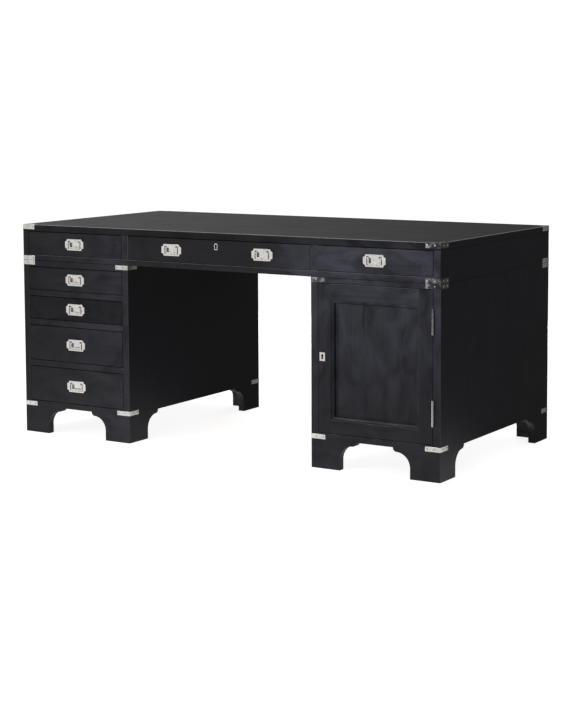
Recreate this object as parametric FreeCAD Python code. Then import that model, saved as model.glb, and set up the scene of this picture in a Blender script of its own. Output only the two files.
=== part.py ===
import FreeCAD, Part
import math
import os

from FreeCAD import Vector

# Campaign writing desk: a top section with three drawers that stands on two pedestals.
# Millimetres. X runs to the right, Y to the back and Z up. The origin is on the floor under the middle.

# Whole desk
DESK_WIDTH = 1740.0
DESK_DEPTH = 860.0
DESK_HEIGHT = 780.0
PEDESTAL_WIDTH = 486.0

# Heights, from the floor up; the pedestal's drawers share what is left in these proportions
FOOT_HEIGHT = 100.0
BOTTOM_THICK = 21.0
LARGE_SHARE = 131.0
SMALL_SHARE = 86.0
LARGE_DRAWERS = 2
SMALL_DRAWERS = 2
DRAWER_RAIL_HEIGHT = 23.0
LEFT_CAP_THICK = 23.0
RIGHT_CAP_THICK = 18.0
TOP_RAIL_HEIGHT = 21.0
TOP_OPENING = 87.0
TOP_THICK = 25.0

# Boards of the case
SIDE_THICK = 26.0
DIVIDER_THICK = 28.0
TOP_BACK_THICK = 18.0
BACK_THICK = 12.0
BACK_INSET = 4.0
RAIL_DEPTH = 70.0
RUNNER_WIDTH = 18.0
ARRIS = 1.2
TOP_ARRIS = 2.0

# Shelf of the cupboard
SHELF_THICK = 20.0
SHELF_HEIGHT_SHARE = 0.48
SHELF_SETBACK = 40.0
SHELF_GAP = 0.5
PEG_RADIUS = 3.5
PEG_OUT = 12.0
PEG_IN = 12.0
PEG_FROM_END = 90.0

# Bracket feet
FOOT_WIDTH = 110.0
COVE_RADIUS = 50.0
BEAD_RADIUS = 14.0

# Dowels between the top section and the pedestals
DOWEL_RADIUS = 6.0
DOWEL_REACH = 14.0
DOWEL_SPREAD = 300.0

# Drawers
FRONT_THICK = 22.0
FRONT_GAP = 1.5
FRONT_ARRIS = 1.2
DRAWER_LENGTH = 640.0
BOX_SIDE_THICK = 12.0
BOX_BOTTOM_THICK = 6.0
BOX_BOTTOM_RAISE = 8.0
BOX_TOP_DROP = 12.0
BOX_SIDE_GAP = 1.0
RUN_GAP = 0.3

# Flush handles
HANDLE_SPREAD = 380.0
PLATE_WIDTH = 85.0
PLATE_HEIGHT = 41.0
PLATE_THICK = 1.8
PLATE_PROUD = 0.8
PLATE_NOTCH = 9.0
PLATE_FIT = 0.2
CUP_WIDTH = 66.0
CUP_HEIGHT = 31.0
CUP_CLIP = 5.0
CUP_DEPTH = 12.0
CUP_WALL = 1.2
BAIL_RADIUS = 2.4
BAIL_BEND = 6.0
BAIL_GAP = 1.0
BAIL_DROP_GAP = 3.0
BAIL_SINK = 0.6
PIVOT_RADIUS = 1.4
PIVOT_CLEAR = 0.06
PIVOT_SHORT = 0.2

# Door
DOOR_THICK = 22.0
DOOR_GAP = 1.5
STILE_WIDTH = 50.0
DOOR_TOP_RAIL = 54.0
DOOR_BOTTOM_RAIL = 46.0
MOULDING_DROP = 2.0
MOULDING_STEP = 3.0
MOULDING_ROUND = 9.0
MOULDING_TOE = 5.0
MOULDING_EDGE = 1.5
PANEL_THICK = 8.0
PANEL_TONGUE = 8.0

# Hinges of the door
HINGE_LENGTH = 82.0
HINGE_FROM_END = 62.0
LEAF_WIDTH = 18.0
LEAF_THICK = 1.6
BARREL_RADIUS = 4.0
BARREL_PROUD = 2.5
BARREL_CLEAR = 0.35
PIN_RADIUS = 1.8
PIN_CLEAR = 0.05
PIN_HEAD_HEIGHT = 1.6
KNUCKLES = 5
KNUCKLE_GAP = 0.35

# Locks
LOCK_DEPTH = 12.0
LOCK_REACH = 34.0
LOCK_SPAN = 50.0
DRAWER_KEY_DROP = 19.0
DOOR_KEY_SET = 16.5
DOOR_LOCK_RAISE = 5.0
BOLT_THICK = 6.0
BOLT_SPAN = 14.0
BOLT_LENGTH = 24.0
BOLT_THROW = 10.0
BOLT_SETBACK = 0.3
BOLT_CLEAR = 0.3

# Keyholes
KEY_RADIUS = 3.2
KEY_NECK = 3.6
KEY_FLARE = 5.0
KEY_DROP = 11.5
RING_RADIUS = 8.0
RING_NECK = 11.0
RING_FLARE = 14.0
RING_DROP = 14.5
RING_WIDTH = 2.8
RING_THICK = 2.0
RING_PROUD = 0.3
KEY_PLATE_WIDTH = 21.0
KEY_PLATE_HEIGHT = 29.0
KEY_PLATE_THICK = 1.5
KEY_PLATE_PROUD = 0.4

# Corner brackets and their screws
LEAF_REACH = 55.0
BRACKET_HEIGHT = 16.0
TOP_BRACKET_HEIGHT = 18.0
BRACKET_THICK = 1.6
BRACKET_PROUD = 0.5
BRACKET_BEND = 1.2
SCREW_NEAR = 21.0
SCREW_FAR = 48.0
SCREW_RADIUS = 1.3
SCREW_HEAD_RADIUS = 2.7
SCREW_HEAD_HEIGHT = 0.9
SCREW_LENGTH = 13.0
FASTENER_CLEAR = 0.05

# Cuts run past the face that they open by this much
OVERRUN = 5.0

# Two coordinates nearer than this are the same place
SAME_PLACE = 0.01

# Planes that the boards share
LEFT = -DESK_WIDTH / 2
RIGHT = DESK_WIDTH / 2
FRONT = -DESK_DEPTH / 2
BACK = DESK_DEPTH / 2
BOTTOM_TOP = FOOT_HEIGHT + BOTTOM_THICK
TOP_UNDER = DESK_HEIGHT - TOP_THICK
TOP_FLOOR = TOP_UNDER - TOP_OPENING
SPLIT = TOP_FLOOR - TOP_RAIL_HEIGHT
LEFT_CAP_UNDER = SPLIT - LEFT_CAP_THICK
RIGHT_CAP_UNDER = SPLIT - RIGHT_CAP_THICK
RAILS_HEIGHT = (LARGE_DRAWERS + SMALL_DRAWERS - 1) * DRAWER_RAIL_HEIGHT
OPENINGS_HEIGHT = LEFT_CAP_UNDER - BOTTOM_TOP - RAILS_HEIGHT
SHARES = [LARGE_SHARE] * LARGE_DRAWERS + [SMALL_SHARE] * SMALL_DRAWERS
PEDESTAL_OPENINGS = [OPENINGS_HEIGHT * share / sum(SHARES) for share in SHARES]
OUTER_FACE = RIGHT - SIDE_THICK
KNEE_SIDE = RIGHT - PEDESTAL_WIDTH
INNER_FACE = KNEE_SIDE + SIDE_THICK
DIVIDER_FACE = INNER_FACE - DIVIDER_THICK
PEDESTAL_MIDDLE = RIGHT - PEDESTAL_WIDTH / 2
TOP_BACK_FACE = BACK - TOP_BACK_THICK
BACK_FACE = BACK - BACK_INSET - BACK_THICK
RAIL_BACK = FRONT + RAIL_DEPTH
TOP_RAIL_FRONT = TOP_BACK_FACE - RAIL_DEPTH

FULL_TURN = 360.0
QUARTER_TURN = 90.0
X_AXIS = Vector(1, 0, 0)
Y_AXIS = Vector(0, 1, 0)
Z_AXIS = Vector(0, 0, 1)
ORIGIN = Vector(0, 0, 0)


def save(name, shapes):
    """Write the solids of one node."""
    solids = [solid for shape in shapes for solid in shape.Solids]
    Part.makeCompound(solids).exportStep("parts/" + name + ".step")
    print(name, len(solids))


def block(x, y, z):
    """Board between two planes on each axis."""
    corner = Vector(x[0], y[0], z[0])
    return Part.makeBox(x[1] - x[0], y[1] - y[0], z[1] - z[0], corner)


def placed(shape, x, y, z):
    """Copy of a shape moved from the origin to a place."""
    copy = shape.copy()
    copy.translate(Vector(x, y, z))
    return copy


def mirrored(shape, axis):
    """Copy of a shape on the other side of the middle plane across an axis."""
    return shape.mirror(ORIGIN, axis)


def rod(radius, start, end):
    """Round bar from one point to another."""
    along = end.sub(start)
    return Part.makeCylinder(radius, along.Length, start, along)


def line(start, end):
    """Straight edge."""
    return Part.makeLine(start, end)


def quarter(start, centre, end):
    """Edge of a quarter circle."""
    half = start.sub(centre).add(end.sub(centre))
    half.normalize()
    middle = centre.add(half.multiply(start.distanceToPoint(centre)))
    return Part.Arc(start, middle, end).toShape()


def pushed(edges, push):
    """Solid pushed from a flat outline."""
    return Part.Face(Part.Wire(Part.sortEdges(edges)[0])).extrude(push)


def prism(points, push):
    """Solid pushed from a flat outline of straight sides."""
    return Part.Face(Part.makePolygon(points + points[:1])).extrude(push)


def on_plane(values, plane):
    """Whether all coordinates lie on a plane."""
    return all(math.isclose(value, plane, abs_tol=SAME_PLACE) for value in values)


def rounded(shape, radius, test):
    """Round each edge whose ends, given as their X, Y and Z values, pass a test."""
    edges = []
    for edge in shape.Edges:
        points = [vertex.Point for vertex in edge.Vertexes]
        if test([p.x for p in points], [p.y for p in points], [p.z for p in points]):
            edges.append(edge)
    return shape.makeFillet(radius, edges)


def cut_by(shape, tools):
    """Cut a board by those tools that reach it."""
    reached = [tool for tool in tools if tool.BoundBox.intersect(shape.BoundBox)]
    return shape.cut(reached) if reached else shape


def screw():
    """Domed wood screw that enters along Y, its head seated on the plane at zero."""
    sphere = (SCREW_HEAD_RADIUS**2 + SCREW_HEAD_HEIGHT**2) / SCREW_HEAD_HEIGHT / 2
    half_turn = math.asin(SCREW_HEAD_RADIUS / sphere) / 2
    middle_drop = sphere - sphere * math.cos(half_turn)
    crown = Vector(0, -SCREW_HEAD_HEIGHT, 0)
    middle = Vector(sphere * math.sin(half_turn), middle_drop - SCREW_HEAD_HEIGHT, 0)
    rim = Vector(SCREW_HEAD_RADIUS, 0, 0)
    neck = Vector(SCREW_RADIUS, 0, 0)
    tip = Vector(SCREW_RADIUS, SCREW_LENGTH, 0)
    end = Vector(0, SCREW_LENGTH, 0)
    edges = [Part.Arc(crown, middle, rim).toShape(), line(rim, neck), line(neck, tip)]
    edges += [line(tip, end), line(end, crown)]
    return Part.Face(Part.Wire(edges)).revolve(ORIGIN, Y_AXIS, FULL_TURN)


def bracket(height, with_top):
    """Bracket of a front right corner: two leaves, and a third on the top where asked.

    The corner is at the origin and the desk lies behind it and to its left.
    Gives the bracket, its screws and the holes that the screws need in the boards.
    """
    outer = BRACKET_PROUD
    inner = BRACKET_PROUD - BRACKET_THICK
    front_leaf = block((-LEAF_REACH, outer), (-outer, -inner), (0, height))
    side_leaf = block((inner, outer), (-outer, LEAF_REACH), (0, height))
    body = front_leaf.fuse(side_leaf).removeSplitter()
    body = rounded(body, BRACKET_BEND, lambda x, y, z: on_plane(x, outer) and on_plane(y, -outer))
    if with_top:
        lid = (height - BRACKET_THICK, height)
        along_front = block((-LEAF_REACH, inner), (-inner, height), lid)
        along_side = block((-height, inner), (-inner, LEAF_REACH), lid)
        body = body.fuse([along_front, along_side]).removeSplitter()
    entering_back = screw()
    entering_left = entering_back.copy()
    entering_left.rotate(ORIGIN, Z_AXIS, QUARTER_TURN)
    hole_radius = SCREW_RADIUS + FASTENER_CLEAR
    hole_end = SCREW_LENGTH + FASTENER_CLEAR
    middle = height / 2
    screws = []
    holes = []
    for reach in (SCREW_NEAR, SCREW_FAR):
        screws.append(placed(entering_back, -reach, -outer, middle))
        screws.append(placed(entering_left, outer, reach, middle))
        holes.append(rod(hole_radius, Vector(-reach, -outer, middle), Vector(-reach, hole_end, middle)))
        holes.append(rod(hole_radius, Vector(outer, reach, middle), Vector(-hole_end, reach, middle)))
    return body.cut(holes), screws, holes


def at_corner(shape, to_right, to_back, x, y, z):
    """Copy of a front right corner's piece at another corner."""
    copy = shape if to_right else mirrored(shape, X_AXIS)
    copy = mirrored(copy, Y_AXIS) if to_back else copy
    return placed(copy, x, y, z)


OUTER_SIDES = [(False, LEFT), (True, RIGHT)]
ALL_SIDES = OUTER_SIDES + [(True, -KNEE_SIDE), (False, KNEE_SIDE)]
BOTH_ENDS = [(False, FRONT), (True, BACK)]


def all_brackets():
    """Brackets of the top, the other brackets, all screws, and the cuts that they need in the boards."""
    top_set = bracket(TOP_BRACKET_HEIGHT, True)
    plain_set = bracket(BRACKET_HEIGHT, False)
    tops, others, screws, cuts = [], [], [], []
    rows = [(top_set, tops, OUTER_SIDES, DESK_HEIGHT - TOP_BRACKET_HEIGHT)]
    rows.append((plain_set, others, OUTER_SIDES, SPLIT))
    rows.append((plain_set, others, ALL_SIDES, SPLIT - BRACKET_HEIGHT))
    rows.append((plain_set, others, ALL_SIDES, FOOT_HEIGHT))
    for (body, its_screws, its_holes), kept, sides, z in rows:
        for to_right, x in sides:
            for to_back, y in BOTH_ENDS:
                corner = (to_right, to_back, x, y, z)
                kept.append(at_corner(body, *corner))
                cuts.append(kept[-1])
                cuts += [at_corner(hole, *corner) for hole in its_holes]
                screws += [at_corner(one, *corner) for one in its_screws]
    return tops, others, screws, cuts


def dowels():
    """Dowels in the pedestals' caps and in the rails above them, and their holes."""
    pins = []
    holes = []
    for middle in (-PEDESTAL_MIDDLE, PEDESTAL_MIDDLE):
        for x in (middle - DOWEL_SPREAD / 2, middle + DOWEL_SPREAD / 2):
            for y in (FRONT + RAIL_DEPTH / 2, TOP_BACK_FACE - RAIL_DEPTH / 2):
                low = Vector(x, y, SPLIT - DOWEL_REACH)
                high = Vector(x, y, SPLIT + DOWEL_REACH)
                pins.append(rod(DOWEL_RADIUS, low, high))
                holes.append(rod(DOWEL_RADIUS + FASTENER_CLEAR, low, high))
    return pins, holes


def foot_boards():
    """Front board and side board of a front right bracket foot, the side one butted behind the front one."""
    cove_end = FOOT_WIDTH + COVE_RADIUS
    cove_top = FOOT_HEIGHT - BEAD_RADIUS
    cove_start = cove_top - COVE_RADIUS
    corner_low = Vector(0, 0, 0)
    toe = Vector(-FOOT_WIDTH, 0, 0)
    spring = Vector(-FOOT_WIDTH, 0, cove_start)
    crest = Vector(-cove_end, 0, cove_top)
    tip = Vector(-cove_end - BEAD_RADIUS, 0, FOOT_HEIGHT)
    corner_high = Vector(0, 0, FOOT_HEIGHT)
    outline = [line(corner_low, toe), line(toe, spring)]
    outline.append(quarter(spring, Vector(-cove_end, 0, cove_start), crest))
    outline.append(quarter(crest, Vector(-cove_end, 0, FOOT_HEIGHT), tip))
    outline += [line(tip, corner_high), line(corner_high, corner_low)]
    board = pushed(outline, Vector(0, SIDE_THICK, 0))
    side_board = board.copy()
    side_board.rotate(ORIGIN, Z_AXIS, QUARTER_TURN)
    side_board = mirrored(side_board, Y_AXIS).cut(board)
    front_board = rounded(board, ARRIS, lambda x, y, z: on_plane(x, 0) and on_plane(y, 0))
    return front_board, side_board


def bracket_feet():
    """Boards of all the feet."""
    boards = foot_boards()
    feet = []
    for to_right, x in ALL_SIDES:
        for to_back, y in BOTH_ENDS:
            feet += [at_corner(board, to_right, to_back, x, y, 0) for board in boards]
    return feet


def end_board(outer, inner, low, high):
    """Upright board at one side of a unit, its outer corners rounded."""
    board = block(sorted((outer, inner)), (FRONT, BACK), (low, high))
    return rounded(board, ARRIS, lambda x, y, z: on_plane(x, outer) and on_plane(y, y[0]))


def top_section(cuts, dowel_holes, bolt_mortise):
    """Desk top, and the case that holds the three upper drawers."""
    top = block((LEFT, RIGHT), (FRONT, BACK), (TOP_UNDER, DESK_HEIGHT))
    top = rounded(top, TOP_ARRIS, lambda x, y, z: on_plane(z, DESK_HEIGHT))
    save("desk_top", [cut_by(top, cuts + [bolt_mortise])])
    ends = [end_board(x, x - math.copysign(SIDE_THICK, x), SPLIT, TOP_UNDER) for x in (LEFT, RIGHT)]
    save("top_section_ends", [cut_by(end, cuts) for end in ends])
    width = (-OUTER_FACE, OUTER_FACE)
    back = block(width, (TOP_BACK_FACE, BACK), (SPLIT, TOP_UNDER))
    save("top_section_back", [cut_by(back, cuts)])
    floor = (SPLIT, TOP_FLOOR)
    front_rail = block(width, (FRONT, RAIL_BACK), floor)
    back_rail = block(width, (TOP_RAIL_FRONT, TOP_BACK_FACE), floor)
    save("top_section_rails", [cut_by(rail, cuts + dowel_holes) for rail in (front_rail, back_rail)])
    divider = block((DIVIDER_FACE, INNER_FACE), (FRONT, TOP_BACK_FACE), (TOP_FLOOR, TOP_UNDER))
    save("top_section_dividers", [divider, mirrored(divider, X_AXIS)])


def drawer_openings():
    """Lowest and highest plane of each drawer opening of the left pedestal, from the bottom up."""
    spans = []
    low = BOTTOM_TOP
    for height in PEDESTAL_OPENINGS:
        spans.append((low, low + height))
        low += height + DRAWER_RAIL_HEIGHT
    return spans


def runners():
    """Strips that the drawers slide on, under the dividers and along the sides."""
    depth = (RAIL_BACK, TOP_RAIL_FRONT)
    floor = (SPLIT, TOP_FLOOR)
    under_divider = block((DIVIDER_FACE - RUNNER_WIDTH, INNER_FACE + RUNNER_WIDTH), depth, floor)
    at_end = block((OUTER_FACE - RUNNER_WIDTH, OUTER_FACE), depth, floor)
    strips = [under_divider, mirrored(under_divider, X_AXIS), at_end, mirrored(at_end, X_AXIS)]
    for low, high in drawer_openings()[1:]:
        level = (low - DRAWER_RAIL_HEIGHT, low)
        for x in ((-OUTER_FACE, -OUTER_FACE + RUNNER_WIDTH), (-INNER_FACE - RUNNER_WIDTH, -INNER_FACE)):
            strips.append(block(x, (RAIL_BACK, BACK_FACE), level))
    return strips


def pedestals(cuts, dowel_holes, inner_cuts, outer_cuts):
    """Cases of the two pedestals."""
    height = (FOOT_HEIGHT, SPLIT)
    left_outer = cut_by(end_board(LEFT, -OUTER_FACE, *height), cuts)
    left_inner = cut_by(end_board(-KNEE_SIDE, -INNER_FACE, *height), cuts)
    right_inner = cut_by(end_board(KNEE_SIDE, INNER_FACE, *height), cuts + inner_cuts)
    right_outer = cut_by(end_board(RIGHT, OUTER_FACE, *height), cuts + outer_cuts)
    save("pedestal_sides", [left_outer, left_inner, right_inner, right_outer])
    left_span = (-OUTER_FACE, -INNER_FACE)
    right_span = (INNER_FACE, OUTER_FACE)
    depth = (FRONT, BACK)
    left_cap = block(left_span, depth, (LEFT_CAP_UNDER, SPLIT))
    right_cap = block(right_span, depth, (RIGHT_CAP_UNDER, SPLIT))
    save("pedestal_caps", [cut_by(cap, cuts + dowel_holes) for cap in (left_cap, right_cap)])
    bottoms = [block(span, depth, (FOOT_HEIGHT, BOTTOM_TOP)) for span in (left_span, right_span)]
    save("pedestal_bottoms", [cut_by(bottom, cuts) for bottom in bottoms])
    inset = (BACK_FACE, BACK - BACK_INSET)
    left_back = block(left_span, inset, (BOTTOM_TOP, LEFT_CAP_UNDER))
    right_back = block(right_span, inset, (BOTTOM_TOP, RIGHT_CAP_UNDER))
    save("pedestal_backs", [left_back, right_back])
    rails = []
    for low, high in drawer_openings()[1:]:
        rails.append(block(left_span, (FRONT, RAIL_BACK), (low - DRAWER_RAIL_HEIGHT, low)))
    save("drawer_rails", rails)


def shelf():
    """Shelf of the cupboard, its pegs and the holes for them in the sides."""
    low = BOTTOM_TOP + (RIGHT_CAP_UNDER - BOTTOM_TOP) * SHELF_HEIGHT_SHARE
    front = FRONT + DOOR_THICK + SHELF_SETBACK
    width = (INNER_FACE + SHELF_GAP, OUTER_FACE - SHELF_GAP)
    board = block(width, (front, BACK_FACE), (low, low + SHELF_THICK))
    pegs = []
    holes = []
    for y in (front + PEG_FROM_END, BACK_FACE - PEG_FROM_END):
        for face, way in ((INNER_FACE, 1), (OUTER_FACE, -1)):
            root = Vector(face - way * PEG_IN, y, low - PEG_RADIUS)
            end = Vector(face + way * PEG_OUT, y, low - PEG_RADIUS)
            pegs.append(rod(PEG_RADIUS, root, end))
            holes.append(rod(PEG_RADIUS + FASTENER_CLEAR, root, end))
    save("cupboard_shelf", [board])
    save("shelf_pegs", pegs)
    return holes


def plate_outline(grow, depth):
    """Handle plate with scooped corners, its face on the plane at zero, grown all round by a clearance."""
    width = PLATE_WIDTH / 2
    height = PLATE_HEIGHT / 2
    sheet = block((-width - grow, width + grow), (0, depth), (-height - grow, height + grow))
    scoops = []
    for x in (-width, width):
        for z in (-height, height):
            scoops.append(rod(PLATE_NOTCH - grow, Vector(x, -OVERRUN, z), Vector(x, depth + OVERRUN, z)))
    return sheet.cut(scoops)


def cup_form(grow, depth):
    """Recess of a handle, a box with clipped corners that goes in from the plane at zero."""
    x = CUP_WIDTH / 2 + grow
    z = CUP_HEIGHT / 2 + grow
    clip = CUP_CLIP
    outline = [(-x, -z + clip), (-x + clip, -z), (x - clip, -z), (x, -z + clip)]
    outline += [(x, z - clip), (x - clip, z), (-x + clip, z), (-x, z - clip)]
    return prism([Vector(u, 0, w) for u, w in outline], Vector(0, depth, 0))


ARM_PLACE = CUP_WIDTH / 2 - BAIL_GAP - BAIL_RADIUS
PIVOT_HEIGHT = CUP_HEIGHT / 2 - CUP_CLIP - BAIL_RADIUS
PIVOT_INTO = BAIL_SINK + BAIL_RADIUS
GRIP_HEIGHT = BAIL_RADIUS + BAIL_DROP_GAP - CUP_HEIGHT / 2


def handle_plate():
    """Flush plate with its cup, and the pocket that it needs, about the middle of the handle."""
    flange = placed(plate_outline(0, PLATE_THICK), 0, -PLATE_PROUD, 0)
    cup = cup_form(CUP_WALL, CUP_DEPTH + CUP_WALL)
    hollow = placed(cup_form(0, CUP_DEPTH + OVERRUN), 0, -OVERRUN, 0)
    reach = CUP_WIDTH / 2 + CUP_WALL + OVERRUN
    eye_left = Vector(-reach, PIVOT_INTO, PIVOT_HEIGHT)
    eye_right = Vector(reach, PIVOT_INTO, PIVOT_HEIGHT)
    eyes = rod(PIVOT_RADIUS + PIVOT_CLEAR, eye_left, eye_right)
    plate = flange.fuse(cup).cut([hollow, eyes]).removeSplitter()
    seat = placed(plate_outline(PLATE_FIT, PLATE_THICK - PLATE_PROUD + OVERRUN), 0, -OVERRUN, 0)
    pocket = seat.fuse(cup_form(CUP_WALL + PLATE_FIT, CUP_DEPTH + CUP_WALL + PLATE_FIT))
    return plate, pocket


def bail():
    """Pull that hangs in the cup: two arms, a grip and the pivots at the arms' tops."""
    def at(x, z):
        return Vector(x, PIVOT_INTO, z)

    inner = ARM_PLACE - BAIL_BEND
    bend = GRIP_HEIGHT + BAIL_BEND
    path = [line(at(-ARM_PLACE, PIVOT_HEIGHT), at(-ARM_PLACE, bend))]
    path.append(quarter(at(-ARM_PLACE, bend), at(-inner, bend), at(-inner, GRIP_HEIGHT)))
    path.append(line(at(-inner, GRIP_HEIGHT), at(inner, GRIP_HEIGHT)))
    path.append(quarter(at(inner, GRIP_HEIGHT), at(inner, bend), at(ARM_PLACE, bend)))
    path.append(line(at(ARM_PLACE, bend), at(ARM_PLACE, PIVOT_HEIGHT)))
    section = Part.Wire(Part.makeCircle(BAIL_RADIUS, at(-ARM_PLACE, PIVOT_HEIGHT), Z_AXIS))
    pull = Part.Wire(path).makePipeShell([section], True, False)
    pin_end = CUP_WIDTH / 2 + CUP_WALL - PIVOT_SHORT
    knobs = []
    for way in (-1, 1):
        arm_top = at(way * ARM_PLACE, PIVOT_HEIGHT)
        knobs.append(Part.makeSphere(BAIL_RADIUS, arm_top))
        knobs.append(rod(PIVOT_RADIUS, arm_top, at(way * pin_end, PIVOT_HEIGHT)))
    return pull.fuse(knobs).removeSplitter()


def drawer(name, x, z, handle_places, front_cuts):
    """One drawer in its opening: front, box, handle plates and bails."""
    front_x = (x[0] + FRONT_GAP, x[1] - FRONT_GAP)
    front_z = (z[0] + FRONT_GAP, z[1] - FRONT_GAP)
    front = block(front_x, (FRONT, FRONT + FRONT_THICK), front_z)
    front = rounded(front, FRONT_ARRIS, lambda x, y, z: on_plane(y, FRONT))
    middle = (z[0] + z[1]) / 2
    plate, pocket = handle_plate()
    pull = bail()
    pockets = [placed(pocket, place, FRONT, middle) for place in handle_places]
    save(name + "_front", [front.cut(pockets + front_cuts)])
    box_y = (FRONT + FRONT_THICK, FRONT + DRAWER_LENGTH)
    box_z = (z[0] + RUN_GAP, front_z[1] - BOX_TOP_DROP)
    outer = (x[0] + BOX_SIDE_GAP, x[1] - BOX_SIDE_GAP)
    inner = (outer[0] + BOX_SIDE_THICK, outer[1] - BOX_SIDE_THICK)
    back_face = box_y[1] - BOX_SIDE_THICK
    floor = (z[0] + BOX_BOTTOM_RAISE, z[0] + BOX_BOTTOM_RAISE + BOX_BOTTOM_THICK)
    left_side = block((outer[0], inner[0]), box_y, box_z)
    right_side = block((inner[1], outer[1]), box_y, box_z)
    back = block(inner, (back_face, box_y[1]), (floor[0], box_z[1]))
    bottom = block(inner, (box_y[0], back_face), floor)
    save(name + "_box", [left_side, right_side, back, bottom])
    save(name + "_handle_plate", [placed(plate, place, FRONT, middle) for place in handle_places])
    sides = [""] if len(handle_places) == 1 else ["_left", "_right"]
    for side, place in zip(sides, handle_places):
        save(name + side + "_bail", [placed(pull, place, FRONT, middle)])


def keyhole(radius, neck, flare, drop, depth):
    """Keyhole form that goes in along Y: a round above a skirt that widens downwards."""
    hole = rod(radius, ORIGIN, Vector(0, depth, 0))
    skirt = [Vector(-neck / 2, 0, 0), Vector(neck / 2, 0, 0)]
    skirt += [Vector(flare / 2, 0, -drop), Vector(-flare / 2, 0, -drop)]
    return hole.fuse(prism(skirt, Vector(0, depth, 0))).removeSplitter()


def drawer_lock():
    """Lock of the middle drawer: saves its pieces, gives the front's cuts and the mortise in the top."""
    edge = TOP_UNDER - FRONT_GAP
    back = FRONT + FRONT_THICK
    key_z = edge - DRAWER_KEY_DROP
    case = block((-LOCK_SPAN / 2, LOCK_SPAN / 2), (back - LOCK_DEPTH, back), (edge - LOCK_REACH, edge))
    bolt_y = back - LOCK_DEPTH / 2
    bolt_top = edge - BOLT_SETBACK

    def bolt_form(grow, low, high):
        x = (-BOLT_SPAN / 2 - grow, BOLT_SPAN / 2 + grow)
        return block(x, (bolt_y - BOLT_THICK / 2 - grow, bolt_y + BOLT_THICK / 2 + grow), (low, high))

    bolt = bolt_form(0, bolt_top - BOLT_LENGTH, bolt_top)
    channel = bolt_form(BOLT_CLEAR, bolt_top - BOLT_LENGTH - BOLT_CLEAR, edge + OVERRUN)
    mortise = bolt_form(BOLT_CLEAR, TOP_UNDER - OVERRUN, bolt_top + BOLT_THROW + BOLT_CLEAR)
    outer = keyhole(RING_RADIUS, RING_NECK, RING_FLARE, RING_DROP, RING_THICK)
    inset = RING_WIDTH + RING_WIDTH
    inner_drop = RING_DROP - RING_WIDTH
    hollow = keyhole(RING_RADIUS - RING_WIDTH, RING_NECK - inset, RING_FLARE - inset, inner_drop, RING_THICK)
    ring = placed(outer.cut(hollow), 0, FRONT - RING_PROUD, key_z)
    key = keyhole(KEY_RADIUS, KEY_NECK, KEY_FLARE, KEY_DROP, FRONT_THICK - LOCK_DEPTH)
    key = placed(key, 0, FRONT, key_z)
    save("centre_drawer_keyhole_ring", [ring])
    save("centre_drawer_lock_case", [case.cut(channel)])
    save("centre_drawer_lock_bolt", [bolt])
    return [case, ring, key], mortise


def moulding_strip(length):
    """Mitred strip of moulding along X from the origin, whose width runs up from the door's frame."""
    width = MOULDING_STEP + MOULDING_ROUND + MOULDING_TOE
    level = FRONT + MOULDING_DROP
    deep = level + MOULDING_ROUND
    seat = deep + MOULDING_EDGE
    frame_edge = Vector(0, level, 0)
    ledge_end = Vector(0, level, MOULDING_STEP)
    round_end = Vector(0, deep, MOULDING_STEP + MOULDING_ROUND)
    toe_end = Vector(0, deep, width)
    heel = Vector(0, seat, width)
    corner = Vector(0, seat, 0)
    edges = [line(frame_edge, ledge_end), quarter(ledge_end, Vector(0, deep, MOULDING_STEP), round_end)]
    edges += [line(round_end, toe_end), line(toe_end, heel), line(heel, corner), line(corner, frame_edge)]
    bar = pushed(edges, Vector(length, 0, 0))
    plan = [Vector(0, FRONT, 0), Vector(length, FRONT, 0)]
    plan += [Vector(length - width, FRONT, width), Vector(width, FRONT, width)]
    return bar.common(prism(plan, Vector(0, DOOR_THICK, 0)))


def moulding(x, z):
    """Four mitred strips of moulding inside the door's frame."""
    across = moulding_strip(x[1] - x[0])
    along = moulding_strip(z[1] - z[0])
    along.rotate(ORIGIN, Y_AXIS, -QUARTER_TURN)
    low = placed(across, x[0], 0, z[0])
    right = placed(along, x[1], 0, z[0])
    middle = Vector((x[0] + x[1]) / 2, 0, (z[0] + z[1]) / 2)
    return [low, low.mirror(middle, Z_AXIS), right, right.mirror(middle, X_AXIS)]


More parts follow.
